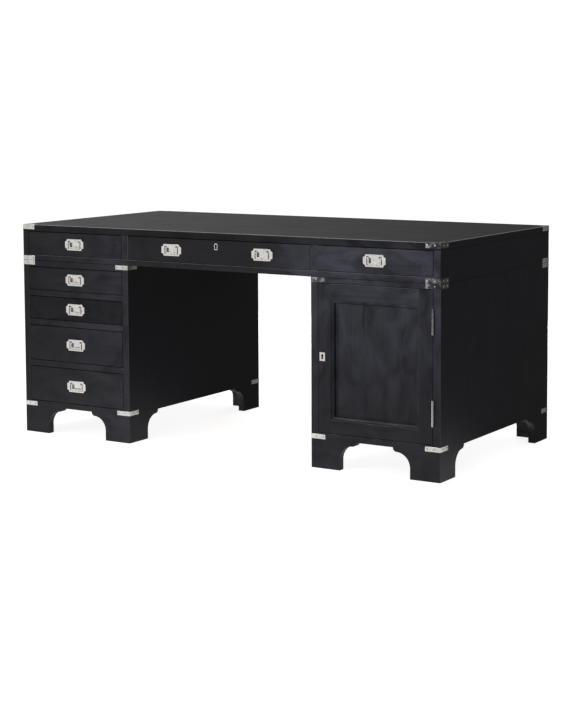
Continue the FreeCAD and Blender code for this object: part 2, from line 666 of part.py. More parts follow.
def hinge(low):
    """One butt hinge from a height up: leaf on the pedestal, leaf on the door, pin, and the wood's cuts."""
    axis_x = OUTER_FACE - DOOR_GAP / 2
    axis_y = FRONT - BARREL_PROUD
    high = low + HINGE_LENGTH
    pitch = HINGE_LENGTH / KNUCKLES

    def barrel(radius, start, end):
        return rod(radius, Vector(axis_x, axis_y, start), Vector(axis_x, axis_y, end))

    span = (low, high)
    reach = (axis_y, FRONT + LEAF_WIDTH)
    case_leaf = block((OUTER_FACE, OUTER_FACE + LEAF_THICK), reach, span)
    door_edge = OUTER_FACE - DOOR_GAP
    door_leaf = block((door_edge - LEAF_THICK, door_edge), reach, span)
    case_seat = case_leaf
    door_seat = door_leaf
    case_knuckles, door_knuckles = [], []
    for index in range(KNUCKLES):
        start = low + index * pitch
        end = start + pitch
        gap_low = KNUCKLE_GAP / 2 if index else 0
        gap_high = KNUCKLE_GAP / 2 if index < KNUCKLES - 1 else 0
        knuckle = barrel(BARREL_RADIUS, start + gap_low, end - gap_high)
        relief = barrel(BARREL_RADIUS + BARREL_CLEAR, start - gap_low, end + gap_high)
        if index % 2 == 0:
            case_knuckles.append(knuckle)
            door_leaf = door_leaf.cut(relief)
        else:
            door_knuckles.append(knuckle)
            case_leaf = case_leaf.cut(relief)
    bore = barrel(PIN_RADIUS + PIN_CLEAR, low - OVERRUN, high + OVERRUN)
    case_leaf = case_leaf.fuse(case_knuckles).cut(bore).removeSplitter()
    door_leaf = door_leaf.fuse(door_knuckles).cut(bore).removeSplitter()
    low_head = barrel(BARREL_RADIUS, low - PIN_HEAD_HEIGHT, low)
    high_head = barrel(BARREL_RADIUS, high, high + PIN_HEAD_HEIGHT)
    pin = barrel(PIN_RADIUS, low, high).fuse([low_head, high_head]).removeSplitter()
    clear_end = PIN_HEAD_HEIGHT + BARREL_CLEAR
    relief = barrel(BARREL_RADIUS + BARREL_CLEAR, low - clear_end, high + clear_end)
    return case_leaf, door_leaf, pin, [case_seat, relief], [door_seat, relief]


def door():
    """Door of the right pedestal with hinges and lock; gives the cuts for the pedestal's two sides."""
    x = (INNER_FACE + DOOR_GAP, OUTER_FACE - DOOR_GAP)
    z = (BOTTOM_TOP + DOOR_GAP, RIGHT_CAP_UNDER - DOOR_GAP)
    back = FRONT + DOOR_THICK
    inner_x = (x[0] + STILE_WIDTH, x[1] - STILE_WIDTH)
    inner_z = (z[0] + DOOR_BOTTOM_RAIL, z[1] - DOOR_TOP_RAIL)
    lows = (z[0] + HINGE_FROM_END, z[1] - HINGE_FROM_END - HINGE_LENGTH)
    hinges = [hinge(low) for low in lows]
    save("pedestal_hinge_leaves", [one[0] for one in hinges])
    save("door_hinge_leaves", [one[1] for one in hinges])
    save("hinge_pins", [one[2] for one in hinges])
    outer_cuts = [tool for one in hinges for tool in one[3]]
    door_cuts = [tool for one in hinges for tool in one[4]]
    tongue_x = (inner_x[0] - PANEL_TONGUE, inner_x[1] + PANEL_TONGUE)
    tongue_z = (inner_z[0] - PANEL_TONGUE, inner_z[1] + PANEL_TONGUE)
    panel_face = FRONT + MOULDING_DROP + MOULDING_ROUND + MOULDING_EDGE
    panel = block(tongue_x, (panel_face, panel_face + PANEL_THICK), tongue_z)
    lock_cuts, mortise = door_lock(x[0], (z[0] + z[1]) / 2 + DOOR_LOCK_RAISE, back)

    def outer_arris(edge_x, edge_y, edge_z):
        """Whether an edge runs along the outline of the door's face."""
        on_outline = [on_plane(edge_x, plane) for plane in x] + [on_plane(edge_z, plane) for plane in z]
        return on_plane(edge_y, FRONT) and any(on_outline)

    def member(its_x, its_z):
        """Stile or rail with its share of the rounded outline, cut for the panel, the hinges and the lock."""
        bar = rounded(block(its_x, (FRONT, back), its_z), FRONT_ARRIS, outer_arris)
        return cut_by(bar, [panel] + door_cuts + lock_cuts)

    save("door_stiles", [member((x[0], inner_x[0]), z), member((inner_x[1], x[1]), z)])
    save("door_rails", [member(inner_x, (z[0], inner_z[0])), member(inner_x, (inner_z[1], z[1]))])
    save("door_panel", [panel])
    save("door_moulding", moulding(inner_x, inner_z))
    return [mortise], outer_cuts


def door_lock(edge, middle, back):
    """Lock of the door: saves its pieces, gives the stile's cuts and the mortise in the pedestal's side."""
    z = (middle - LOCK_SPAN / 2, middle + LOCK_SPAN / 2)
    case = block((edge, edge + LOCK_REACH), (back - LOCK_DEPTH, back), z)
    bolt_y = back - LOCK_DEPTH / 2
    bolt_end = edge + BOLT_SETBACK

    def bolt_form(grow, low, high):
        y = (bolt_y - BOLT_THICK / 2 - grow, bolt_y + BOLT_THICK / 2 + grow)
        return block((low, high), y, (middle - BOLT_SPAN / 2 - grow, middle + BOLT_SPAN / 2 + grow))

    bolt = bolt_form(0, bolt_end, bolt_end + BOLT_LENGTH)
    channel = bolt_form(BOLT_CLEAR, edge - OVERRUN, bolt_end + BOLT_LENGTH + BOLT_CLEAR)
    mortise = bolt_form(BOLT_CLEAR, bolt_end - BOLT_THROW - BOLT_CLEAR, edge)
    key_x = edge + DOOR_KEY_SET
    key_z = middle + (KEY_DROP - KEY_RADIUS) / 2
    plate_x = (key_x - KEY_PLATE_WIDTH / 2, key_x + KEY_PLATE_WIDTH / 2)
    plate_y = (FRONT - KEY_PLATE_PROUD, FRONT - KEY_PLATE_PROUD + KEY_PLATE_THICK)
    plate = block(plate_x, plate_y, (middle - KEY_PLATE_HEIGHT / 2, middle + KEY_PLATE_HEIGHT / 2))
    key = keyhole(KEY_RADIUS, KEY_NECK, KEY_FLARE, KEY_DROP, DOOR_THICK - LOCK_DEPTH + OVERRUN)
    key = placed(key, key_x, FRONT - OVERRUN, key_z)
    save("door_keyhole_plate", [plate.cut(key)])
    save("door_lock_case", [case.cut(channel)])
    save("door_lock_bolt", [bolt])
    return [case, plate, key], mortise


def main():
    os.makedirs("parts", exist_ok=True)
    tops, others, screws, cuts = all_brackets()
    save("top_corner_brackets", tops)
    save("corner_brackets", others)
    save("bracket_screws", screws)
    pins, dowel_holes = dowels()
    save("locating_dowels", pins)
    save("bracket_feet", bracket_feet())
    save("drawer_runners", runners())
    lock_cuts, top_mortise = drawer_lock()
    side_mortises, hinge_cuts = door()
    peg_holes = shelf()
    top_section(cuts, dowel_holes, top_mortise)
    pedestals(cuts, dowel_holes, side_mortises + peg_holes, hinge_cuts + peg_holes)
    upper = (TOP_FLOOR, TOP_UNDER)
    outer_span = (INNER_FACE, OUTER_FACE)
    left_span = (-OUTER_FACE, -INNER_FACE)
    drawer("upper_left_drawer", left_span, upper, [-PEDESTAL_MIDDLE], [])
    drawer("upper_right_drawer", outer_span, upper, [PEDESTAL_MIDDLE], [])
    pair = [-HANDLE_SPREAD / 2, HANDLE_SPREAD / 2]
    drawer("centre_drawer", (-DIVIDER_FACE, DIVIDER_FACE), upper, pair, lock_cuts)
    for number, span in enumerate(reversed(drawer_openings()), start=1):
        drawer("pedestal_drawer_" + str(number), left_span, span, [-PEDESTAL_MIDDLE], [])


main()
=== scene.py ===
"""Campaign writing desk: looks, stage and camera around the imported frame."""
import math
from collections import Counter

import bmesh
import bpy
from mathutils import Matrix, Vector


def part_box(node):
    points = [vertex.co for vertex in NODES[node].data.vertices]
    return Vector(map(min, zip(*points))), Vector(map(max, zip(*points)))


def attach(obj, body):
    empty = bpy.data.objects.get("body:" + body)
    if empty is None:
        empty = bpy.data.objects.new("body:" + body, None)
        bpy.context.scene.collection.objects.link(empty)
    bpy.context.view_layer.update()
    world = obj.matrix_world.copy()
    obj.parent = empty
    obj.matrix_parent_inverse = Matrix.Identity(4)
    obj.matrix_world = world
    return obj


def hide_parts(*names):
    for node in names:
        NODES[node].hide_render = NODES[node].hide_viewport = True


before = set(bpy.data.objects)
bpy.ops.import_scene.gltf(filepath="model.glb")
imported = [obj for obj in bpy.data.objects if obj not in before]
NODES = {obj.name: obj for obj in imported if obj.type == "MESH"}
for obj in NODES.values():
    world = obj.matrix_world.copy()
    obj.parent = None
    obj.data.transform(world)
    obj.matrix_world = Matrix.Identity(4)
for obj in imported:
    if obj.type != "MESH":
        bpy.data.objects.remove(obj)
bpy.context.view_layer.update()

bl_info = {
    "name": "Campaign writing desk",
    "version": (1, 0, 0),
    "blender": (4, 5, 0),
    "location": "View3D > Sidebar > Writing desk",
    "description": "Finishes and details a black lacquered pedestal desk with nickel mounts",
    "category": "Object",
}

MM = 0.001

# Points this near are one point, a face this thin is no face, and touching solids are compared on this grid
SAME_POINT = 0.002 * MM
NO_WIDTH = 0.001 * MM
FINE_GRID = 0.02 * MM

# Angles between two faces: up to the first they are one face, past the others the edge between them is
# shaded as a corner, broken on metal or rounded on a board
ONE_FACE = math.radians(1)
SHADED_CORNER = math.radians(20)
METAL_EDGE = math.radians(40)
BOARD_EDGE = math.radians(60)

# Part of a normal along an axis: over the first a face or edge is square to it, under the second it slants,
# and over the third a rounded edge counts as an upper or lower one
SQUARE = 0.9
SLANTING = 0.985
LEANING = 0.15

# Sockets of a mix node, whose names repeat: its factor, its numbers, its colours and its colour output
MIX, FROM_NUMBER, TO_NUMBER, FROM_COLOUR, TO_COLOUR, MIXED_COLOUR = 0, 2, 3, 6, 7, 2


def linear(code):
    """Linear colour of an sRGB hex value."""
    channels = [int(code[i:i + 2], 16) / 255 for i in (1, 3, 5)]
    return tuple(c / 12.92 if c <= 0.04045 else ((c + 0.055) / 1.055) ** 2.4 for c in channels)


def solid(code):
    """The same with full opacity, for a socket."""
    return linear(code) + (1.0,)


def add_node(tree, kind, inputs=(), **settings):
    """Add a node with its settings; an input is a value, or a node and one of its outputs."""
    made = tree.nodes.new(kind)
    for name, value in settings.items():
        setattr(made, name, value)
    for key, value in dict(inputs).items():
        if isinstance(value, tuple) and isinstance(value[0], bpy.types.Node):
            tree.links.new(value[0].outputs[value[1]], made.inputs[key])
        else:
            made.inputs[key].default_value = value
    return made


def make_active(context, piece):
    """Select one piece alone."""
    bpy.ops.object.select_all(action="DESELECT")
    piece.select_set(True)
    context.view_layer.objects.active = piece


def bar(context, name, low, high):
    """Block between two corners, its size and place put into its mesh."""
    bpy.ops.object.select_all(action="DESELECT")
    middle = [(a + b) / 2 for a, b in zip(low, high)]
    size = [b - a for a, b in zip(low, high)]
    bpy.ops.mesh.primitive_cube_add(size=1, location=middle, scale=size)
    return settled(context, name)


def round_bar(context, name, radius, start, end, sides=32):
    """Round bar from one point to another."""
    bpy.ops.object.select_all(action="DESELECT")
    along = Vector(end) - Vector(start)
    turn = along.to_track_quat("Z", "Y").to_euler()
    middle = (Vector(start) + Vector(end)) / 2
    bpy.ops.mesh.primitive_cylinder_add(
        vertices=sides, radius=radius, depth=along.length, location=middle, rotation=turn
    )
    return settled(context, name)


def settled(context, name):
    """The object just added, named, at the origin with its place in its mesh."""
    bpy.ops.object.transform_apply(location=True, rotation=True, scale=True)
    context.object.name = name
    return context.object


def modified(context, piece, kind, **settings):
    """Apply a modifier to a piece."""
    make_active(context, piece)
    modifier = piece.modifiers.new(kind.lower(), kind)
    for name, value in settings.items():
        setattr(modifier, name, value)
    bpy.ops.object.modifier_apply(modifier=modifier.name)


def joined(context, piece, tool, operation):
    """Cut a piece by a tool, or unite the two; the tool is used up."""
    modified(context, piece, "BOOLEAN", object=tool, operation=operation, solver="EXACT")
    bpy.data.objects.remove(tool)


def pick(context, kind, test):
    """Select the edges or faces of the piece in edit mode that pass a test."""
    bpy.ops.mesh.select_mode(type={"edges": "EDGE", "faces": "FACE"}[kind])
    bpy.ops.mesh.select_all(action="DESELECT")
    form = bmesh.from_edit_mesh(context.object.data)
    for item in getattr(form, kind):
        if test(item):
            item.select_set(True)
    bmesh.update_edit_mesh(context.object.data)


def extrude(way):
    """Draw the selected faces out along a vector."""
    bpy.ops.mesh.extrude_region_move(TRANSFORM_OT_translate={"value": way})


def spot(place):
    """Place on a fine grid, the same for points that coincide."""
    return tuple(round(value / FINE_GRID) for value in place)


def merged(context, piece):
    """Merge a piece's loose triangles into whole faces.

    Its solids follow one another and each is closed. They are merged one by one, so that solids that touch
    stay apart.
    """
    make_active(context, piece)
    bpy.ops.mesh.customdata_custom_splitnormals_clear()
    form = bmesh.new()
    form.from_mesh(piece.data)
    # Points are keys, in the order of the faces, and are merged last face first, alike at every run
    solids, points, unpaired = [], {}, set()
    for face in form.faces:
        points.update(dict.fromkeys(face.verts))
        for edge in face.edges:
            unpaired ^= {frozenset(spot(point.co) for point in edge.verts)}
        if not unpaired:
            solids.append(points)
            points = {}
    for points in solids + [points]:
        bmesh.ops.remove_doubles(form, verts=list(reversed(points)), dist=SAME_POINT)
    form.to_mesh(piece.data)
    form.free()
    bpy.ops.object.mode_set(mode="EDIT")
    bpy.ops.mesh.select_all(action="SELECT")
    bpy.ops.mesh.dissolve_limited(angle_limit=ONE_FACE)
    bpy.ops.object.mode_set(mode="OBJECT")


def softened(context, piece, width):
    """Merge a piece's points, break its sharp edges and shade it smooth between them."""
    merged(context, piece)
    modified(
        context, piece, "BEVEL", width=width, segments=2, limit_method="ANGLE",
        angle_limit=METAL_EDGE, use_clamp_overlap=True, miter_outer="MITER_ARC",
    )
    bpy.ops.object.mode_set(mode="EDIT")
    bpy.ops.mesh.select_all(action="SELECT")
    bpy.ops.mesh.dissolve_degenerate(threshold=NO_WIDTH)
    bpy.ops.object.mode_set(mode="OBJECT")
    bpy.ops.object.shade_smooth_by_angle(angle=SHADED_CORNER)


def eased(context, piece, width, shortest, sheen_marks=(0, 0, 0), rubbed=0):
    """Merge a board's points and round its long outer edges, as a plane and sandpaper leave them.

    The sheen marks are those of the upper, upright and lower edges: above zero a painted highlight, below
    zero edges dulled with dust. Both they and the rubbed share are marks for the lacquer.
    """
    merged(context, piece)
    solids_at = Counter(spot(point.co) for point in piece.data.vertices)

    def is_outer(edge):
        """Whether an edge is long, sharp and not the line of a joint between two solids."""
        is_joint = all(solids_at[spot(point.co)] > 1 for point in edge.verts)
        is_sharp = edge.is_convex and edge.calc_face_angle(0) > BOARD_EDGE
        return is_sharp and not is_joint and edge.calc_length() > shortest

    bpy.ops.object.mode_set(mode="EDIT")
    pick(context, "edges", is_outer)
    bpy.ops.mesh.bevel(offset=width, segments=2, clamp_overlap=True)
    bpy.ops.mesh.select_all(action="SELECT")
    bpy.ops.mesh.dissolve_degenerate(threshold=NO_WIDTH)
    bpy.ops.object.mode_set(mode="OBJECT")
    bpy.ops.object.shade_flat()
    # Narrow slanting faces are the rounded edges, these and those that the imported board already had
    mesh = piece.data
    for name in ("arris", "rubbed"):
        mesh.attributes.new(name, "FLOAT", "FACE")
    worn, cloudy = mesh.attributes["arris"].data, mesh.attributes["rubbed"].data
    upper, upright, lower = sheen_marks
    for face in mesh.polygons:
        cloudy[face.index].value = rubbed
        reach = max((mesh.vertices[a].co - mesh.vertices[b].co).length for a, b in face.edge_keys)
        # A rounded edge takes the sheen mark for its way: above zero a painted highlight, below zero dulled
        # with dust
        if max(abs(way) for way in face.normal) < SLANTING and face.area < reach * width:
            rise = face.normal.z
            worn[face.index].value = upper if rise > LEANING else lower if rise < -LEANING else upright


def copy_of(piece, name, matrix=Matrix.Identity(4)):
    """Copy of a piece with its own mesh, moved or mirrored in its mesh."""
    copy = bpy.data.objects.new(name, piece.data.copy())
    bpy.context.scene.collection.objects.link(copy)
    copy.data.transform(matrix)
    if matrix.determinant() < 0:
        copy.data.flip_normals()
    return copy


def gathered(context, name, pieces):
    """Join the pieces into one."""
    bpy.ops.object.select_all(action="DESELECT")
    for piece in pieces:
        piece.select_set(True)
    context.view_layer.objects.active = pieces[0]
    if len(pieces) > 1:
        bpy.ops.object.join()
    context.object.name = name
    return context.object


def dressed(piece, material, body, slot, *nodes):
    """Give a finished piece its material and its body, and hide the nodes that it stands for. The slot is not
    used.
    """
    piece.data.materials.clear()
    piece.data.materials.append(bpy.data.materials[material])
    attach(piece, body)
    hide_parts(*nodes)


def middle_of(node):
    """Middle of a node's box."""
    low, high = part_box(node)
    return (low + high) / 2


def new_material(name):
    """Empty node material and its tree."""
    material = bpy.data.materials.new(name)
    material.use_nodes = True
    material.node_tree.nodes.clear()
    return material, material.node_tree


# Axes that lie across the grain, by the axis that it runs along
ACROSS = {"x": (0, 1, 1), "y": (1, 0, 1), "z": (1, 1, 0)}


def grain_patterns(tree, place, grain, sizes):
    """Cloudy patterns drawn out along the grain.

    Each has a length along it and a width across it in millimetres, a detail and a swirl.
    """
    patterns = {}
    for name, (along, across, detail, swirl) in sizes.items():
        scale = [1 / ((across if is_across else along) * MM) for is_across in ACROSS[grain]]
        spread = add_node(tree, "ShaderNodeMapping", {"Vector": (place, "Object"), "Scale": scale})
        pattern = add_node(
            tree, "ShaderNodeTexNoise",
            {"Vector": (spread, "Vector"), "Scale": 1.0, "Detail": detail, "Distortion": swirl},
        )
        patterns[name] = (pattern, "Fac")
    return patterns


def ebonised_lacquer(look, grain):
    """Black stained hardwood under satin lacquer, rubbed by hand on the front and duller elsewhere.

    To the eye: blue-black, with a soft broad sheen. Where rubbed it is cloudy, with streaks along the grain.
    How much of the clouds' light colour is laid on changes by place, a painted sheen, and the rounded upper
    edges carry a painted highlight.
    """
    material, tree = new_material("ebonised_lacquer_" + grain)
    place = add_node(tree, "ShaderNodeTexCoord")
    # The pores are drawn three times as coarse as real ones, to show
    sizes = {"cloud": (120, 60, 5.0, 0.9), "streak": (260, 8, 3.0, 0.0), "pore": (16, 1.4, 2.0, 0.0)}
    patterns = grain_patterns(tree, place, grain, sizes)
    # Share of the streaks beside the clouds, where it was rubbed and where it was wiped
    shares = {"rubbed": 0.2, "wiped": 0.65}
    mixed = {
        name: add_node(
            tree, "ShaderNodeMix",
            {MIX: streaks, FROM_NUMBER: patterns["cloud"], TO_NUMBER: patterns["streak"]}, data_type="FLOAT",
        )
        for name, streaks in shares.items()
    }
    veil = add_node(
        tree, "ShaderNodeMapRange", {"Value": (mixed["rubbed"], 0), "From Min": 0.37, "From Max": 0.63}
    )
    # Ways that a face looks and places on the desk in metres: where each starts and is full, and its amounts
    facing = add_node(tree, "ShaderNodeSeparateXYZ", {0: (place, "Normal")})
    where = add_node(tree, "ShaderNodeSeparateXYZ", {0: (place, "Object")})
    rows = {
        "front": (facing, "Y", -0.5, -0.8, 0, 1),
        "upper": (facing, "Z", 0.5, 0.8, 0, 1),
        "to_top": (where, "Z", 0.15, 0.72, 0, 1),
        "faint": (where, "Z", 0.60, 0.68, 0.12, 0.02),
        "inward": (where, "X", -0.80, -0.40, 0, 0.26),
        "on_left": (where, "X", -0.37, -0.39, 0, 1),
    }
    fields = {}
    for name, (source, axis, start, full, least, most) in rows.items():
        field = add_node(
            tree, "ShaderNodeMapRange",
            {"Value": (source, axis), "From Min": start, "From Max": full, "To Min": least, "To Max": most},
        )
        fields[name] = (field, 0)
    to_right = add_node(
        tree, "ShaderNodeMapRange", {"Value": (where, "X"), "From Min": 0.1, "From Max": 0.5},
        interpolation_type="SMOOTHSTEP",
    )
    # Painted sheen: the clouds' light colour is laid on by place, most at the upper right. On the left
    # pedestal the least share grows towards its inner side; elsewhere it is smaller in the top section than
    # lower down.
    sheen_marks = add_node(tree, "ShaderNodeMath", {0: (to_right, 0), 1: fields["to_top"]}, operation="MULTIPLY")
    usual = add_node(
        tree, "ShaderNodeMix",
        {MIX: fields["on_left"], FROM_NUMBER: fields["faint"], TO_NUMBER: fields["inward"]},
        data_type="FLOAT",
    )
    amount = add_node(tree, "ShaderNodeMapRange", {"Value": (sheen_marks, 0), "To Min": (usual, 0), "To Max": 0.78})
    misty = add_node(tree, "ShaderNodeMapRange", {"Value": (veil, 0), "To Min": 0.18})
    # The share of the light colour: the clouds times the painted sheen by place
    worn = add_node(tree, "ShaderNodeMath", {0: (misty, 0), 1: (amount, 0)}, operation="MULTIPLY")
    share = add_node(tree, "ShaderNodeAttribute", attribute_name="rubbed")
    shared = add_node(tree, "ShaderNodeMath", {0: (worn, 0), 1: (share, "Fac")}, operation="MULTIPLY")
    cloud_and_sheen_share = add_node(
        tree, "ShaderNodeMath", {0: (shared, 0), 1: fields["front"]}, operation="MULTIPLY", use_clamp=True
    )
    bloom_and_sheen = add_node(
        tree, "ShaderNodeMix",
        {MIX: (cloud_and_sheen_share, 0), FROM_COLOUR: solid(look.lacquer_dark), TO_COLOUR: solid(look.lacquer_light)},
        data_type="RGBA",
    )
    # Painted highlight: rounded upper edges take the pale edge colour by their mark
    arris = add_node(tree, "ShaderNodeAttribute", attribute_name="arris")
    colour = add_node(
        tree, "ShaderNodeMix",
        {MIX: (arris, "Fac"), FROM_COLOUR: (bloom_and_sheen, MIXED_COLOUR), TO_COLOUR: solid(look.lacquer_arris)},
        data_type="RGBA",
    )
    # Roughness of the dull faces, the wiped top, the rubbed front and the edges that are grey with dust
    dull = add_node(
        tree, "ShaderNodeMapRange",
        {"Value": (veil, 0), "To Min": look.lacquer_dull, "To Max": look.lacquer_dull - 0.05},
    )
    wiped = add_node(
        tree, "ShaderNodeMapRange",
        {
            "Value": (mixed["wiped"], 0), "From Min": 0.35, "From Max": 0.65,
            "To Min": look.lacquer_top + 0.01, "To Max": look.lacquer_top - 0.07,
        },
    )
    rest = add_node(
        tree, "ShaderNodeMix",
        {MIX: fields["upper"], FROM_NUMBER: (dull, 0), TO_NUMBER: (wiped, 0)}, data_type="FLOAT",
    )
    rubbed = add_node(
        tree, "ShaderNodeMapRange",
        {"Value": (veil, 0), "To Min": look.lacquer_haze, "To Max": look.lacquer_gloss},
    )
    unrubbed = add_node(
        tree, "ShaderNodeMapRange",
        {"Value": (share, "Fac"), "From Min": 1.0, "From Max": 0.0, "To Max": 0.3},
    )
    hazy = add_node(tree, "ShaderNodeMath", {0: (rubbed, 0), 1: (unrubbed, 0)}, operation="ADD")
    clean = add_node(
        tree, "ShaderNodeMix",
        {MIX: fields["front"], FROM_NUMBER: (rest, 0), TO_NUMBER: (hazy, 0)}, data_type="FLOAT",
    )
    grime = add_node(
        tree, "ShaderNodeMath", {0: (arris, "Fac"), 1: -1.0}, operation="MULTIPLY", use_clamp=True
    )
    gloss = add_node(
        tree, "ShaderNodeMix", {MIX: (grime, 0), FROM_NUMBER: (clean, 0), TO_NUMBER: 1.0}, data_type="FLOAT"
    )
    relief = add_node(
        tree, "ShaderNodeBump", {"Strength": 0.10, "Distance": 0.2 * MM, "Height": patterns["pore"]}
    )
    shader = add_node(
        tree, "ShaderNodeBsdfPrincipled",
        {
            "Base Color": (colour, MIXED_COLOUR), "Roughness": (gloss, 0), "Normal": (relief, "Normal"),
            "IOR": 1.5, "Specular IOR Level": 0.24,
        },
    )
    add_node(tree, "ShaderNodeOutputMaterial", {"Surface": (shader, "BSDF")})
    return material


def bare_beech(look, grain):
    """Planed beech without a finish: pale, fine straight grain, short darker flecks."""
    material, tree = new_material("bare_beech_" + grain)
    place = add_node(tree, "ShaderNodeTexCoord")
    sizes = {"figure": (900, 18, 4.0, 0.4), "fleck": (12, 1.5, 2.0, 0.0)}
    patterns = grain_patterns(tree, place, grain, sizes)
    mixed = add_node(
        tree, "ShaderNodeMix",
        {MIX: 0.3, FROM_NUMBER: patterns["figure"], TO_NUMBER: patterns["fleck"]}, data_type="FLOAT",
    )
    tone = add_node(tree, "ShaderNodeMapRange", {"Value": (mixed, 0), "From Min": 0.32, "From Max": 0.68})
    colour = add_node(
        tree, "ShaderNodeMix",
        {MIX: (tone, 0), FROM_COLOUR: solid(look.beech_light), TO_COLOUR: solid(look.beech_dark)},
        data_type="RGBA",
    )
    relief = add_node(
        tree, "ShaderNodeBump", {"Strength": 0.2, "Distance": 0.2 * MM, "Height": patterns["fleck"]}
    )
    shader = add_node(
        tree, "ShaderNodeBsdfPrincipled",
        {"Base Color": (colour, MIXED_COLOUR), "Roughness": 0.62, "Normal": (relief, "Normal")},
    )
    add_node(tree, "ShaderNodeOutputMaterial", {"Surface": (shader, "BSDF")})
    return material


def polished_nickel(look, name, shade=None, spotted=False):
    """Polished nickel plate: bright and neutral, with soft smudges and a little brown tarnish.

    Towards the desk's upper right front the brackets are darker and mottled, and there the screws are bright.
    Elsewhere the screws are dimmer than the brackets. On faces at the right end the brackets take the dark
    colour evenly and the screws are fully dim, a painted shade.
    """
    material, tree = new_material(name)
    place = add_node(tree, "ShaderNodeTexCoord")
    # Size in millimetres and detail
    sizes = {"smudge": (16, 3.0), "rub": (4, 1.0)}
    if spotted:
        sizes["blotch"] = (18, 3.0)
    patterns = {}
    for pattern, (size, detail) in sizes.items():
        cloud = add_node(
            tree, "ShaderNodeTexNoise",
            {"Vector": (place, "Object"), "Scale": 1 / (size * MM), "Detail": detail},
        )
        patterns[pattern] = (cloud, "Fac")
    tarnish = add_node(
        tree, "ShaderNodeMapRange", {"Value": patterns["smudge"], "From Min": 0.5, "From Max": 0.8}
    )
    colour = add_node(
        tree, "ShaderNodeMix",
        {MIX: (tarnish, 0), FROM_COLOUR: solid(look.nickel_bright), TO_COLOUR: solid(look.nickel_tarnish)},
        data_type="RGBA",
    )
    gloss = add_node(
        tree, "ShaderNodeMapRange",
        {"Value": patterns["smudge"], "From Min": 0.3, "From Max": 0.7, "To Min": 0.20, "To Max": 0.30},
    )
    if shade:
        # Places on the desk in metres, and faces at its right end: where each starts and is full
        where = add_node(tree, "ShaderNodeSeparateXYZ", {0: (place, "Object")})
        facing = add_node(tree, "ShaderNodeSeparateXYZ", {0: (place, "Normal")})
        rows = {
            "to_right": (where, "X", -0.3, 0.35),
            "to_top": (where, "Z", 0.45, 0.62),
            "to_front": (where, "Y", 0.2, -0.2),
            "on_end": (facing, "X", 0.5, 0.8),
        }
        fields = {}
        for field, (source, axis, start, full) in rows.items():
            ramp = add_node(
                tree, "ShaderNodeMapRange", {"Value": (source, axis), "From Min": start, "From Max": full}
            )
            fields[field] = (ramp, 0)
        upper = add_node(
            tree, "ShaderNodeMath", {0: fields["to_right"], 1: fields["to_top"]}, operation="MULTIPLY"
        )
        upper_right_front = add_node(tree, "ShaderNodeMath", {0: (upper, 0), 1: fields["to_front"]}, operation="MULTIPLY")
        if spotted:
            upper_right_darkening = add_node(tree, "ShaderNodeMapRange", {"Value": (upper_right_front, 0), "To Min": 0.15})
            spots = add_node(
                tree, "ShaderNodeMapRange",
                {"Value": patterns["blotch"], "From Min": 0.70, "From Max": 0.45, "To Min": 0.4},
            )
            # Painted shade: faces at the right end take the dark colour evenly instead of in spots
            even = add_node(
                tree, "ShaderNodeMix",
                {MIX: fields["on_end"], FROM_NUMBER: (spots, 0), TO_NUMBER: 0.9}, data_type="FLOAT",
            )
            dark = add_node(tree, "ShaderNodeMath", {0: (upper_right_darkening, 0), 1: (even, 0)}, operation="MULTIPLY")
        else:
            # Screws are dim except at the upper right front, and fully dim on faces at the right end, a
            # painted shade
            dim = add_node(tree, "ShaderNodeMapRange", {"Value": (upper_right_front, 0), "To Min": 1.0, "To Max": 0.0})
            dark = add_node(tree, "ShaderNodeMath", {0: (dim, 0), 1: fields["on_end"]}, operation="MAXIMUM")
        colour = add_node(
            tree, "ShaderNodeMix",
            {MIX: (dark, 0), FROM_COLOUR: (colour, MIXED_COLOUR), TO_COLOUR: solid(shade)}, data_type="RGBA",
        )
    relief = add_node(
        tree, "ShaderNodeBump", {"Strength": 0.03, "Distance": 0.1 * MM, "Height": patterns["rub"]}
    )
    shader = add_node(
        tree, "ShaderNodeBsdfPrincipled",
        {
            "Base Color": (colour, MIXED_COLOUR), "Metallic": 1.0, "Roughness": (gloss, 0),
            "Normal": (relief, "Normal"),
        },
    )
    add_node(tree, "ShaderNodeOutputMaterial", {"Surface": (shader, "BSDF")})
    return material


def filed_steel(look):
    """Filed mild steel of the locks: grey, with short parallel file marks."""
    material, tree = new_material("filed_steel")
    place = add_node(tree, "ShaderNodeTexCoord")
    patterns = grain_patterns(tree, place, "z", {"mark": (12, 0.6, 2.0, 0.0)})
    colour = add_node(
        tree, "ShaderNodeMix",
        {MIX: patterns["mark"], FROM_COLOUR: solid(look.steel_dark), TO_COLOUR: solid(look.steel_light)},
        data_type="RGBA",
    )
    relief = add_node(
        tree, "ShaderNodeBump", {"Strength": 0.15, "Distance": 0.1 * MM, "Height": patterns["mark"]}
    )
    shader = add_node(
        tree, "ShaderNodeBsdfPrincipled",
        {
            "Base Color": (colour, MIXED_COLOUR), "Metallic": 1.0, "Roughness": 0.38,
            "Normal": (relief, "Normal"),
        },
    )
    add_node(tree, "ShaderNodeOutputMaterial", {"Surface": (shader, "BSDF")})
    return material


def white_board(look):
    """Matt white board of the studio floor, lit through from below so that shadows stay light."""
    material, tree = new_material("white_board")
    shader = add_node(
        tree, "ShaderNodeBsdfPrincipled",
        {
            "Base Color": solid(look.floor_colour), "Roughness": 0.9,
            "Emission Color": (1, 1, 1, 1), "Emission Strength": look.floor_glow,
        },
    )
    add_node(tree, "ShaderNodeOutputMaterial", {"Surface": (shader, "BSDF")})
    return material


def white_tent():
    """White cloth far behind the desk, evenly bright."""
    material, tree = new_material("white_tent")
    shader = add_node(tree, "ShaderNodeEmission", {"Color": (1, 1, 1, 1), "Strength": 1.0})
    add_node(tree, "ShaderNodeOutputMaterial", {"Surface": (shader, "Emission")})
    return material


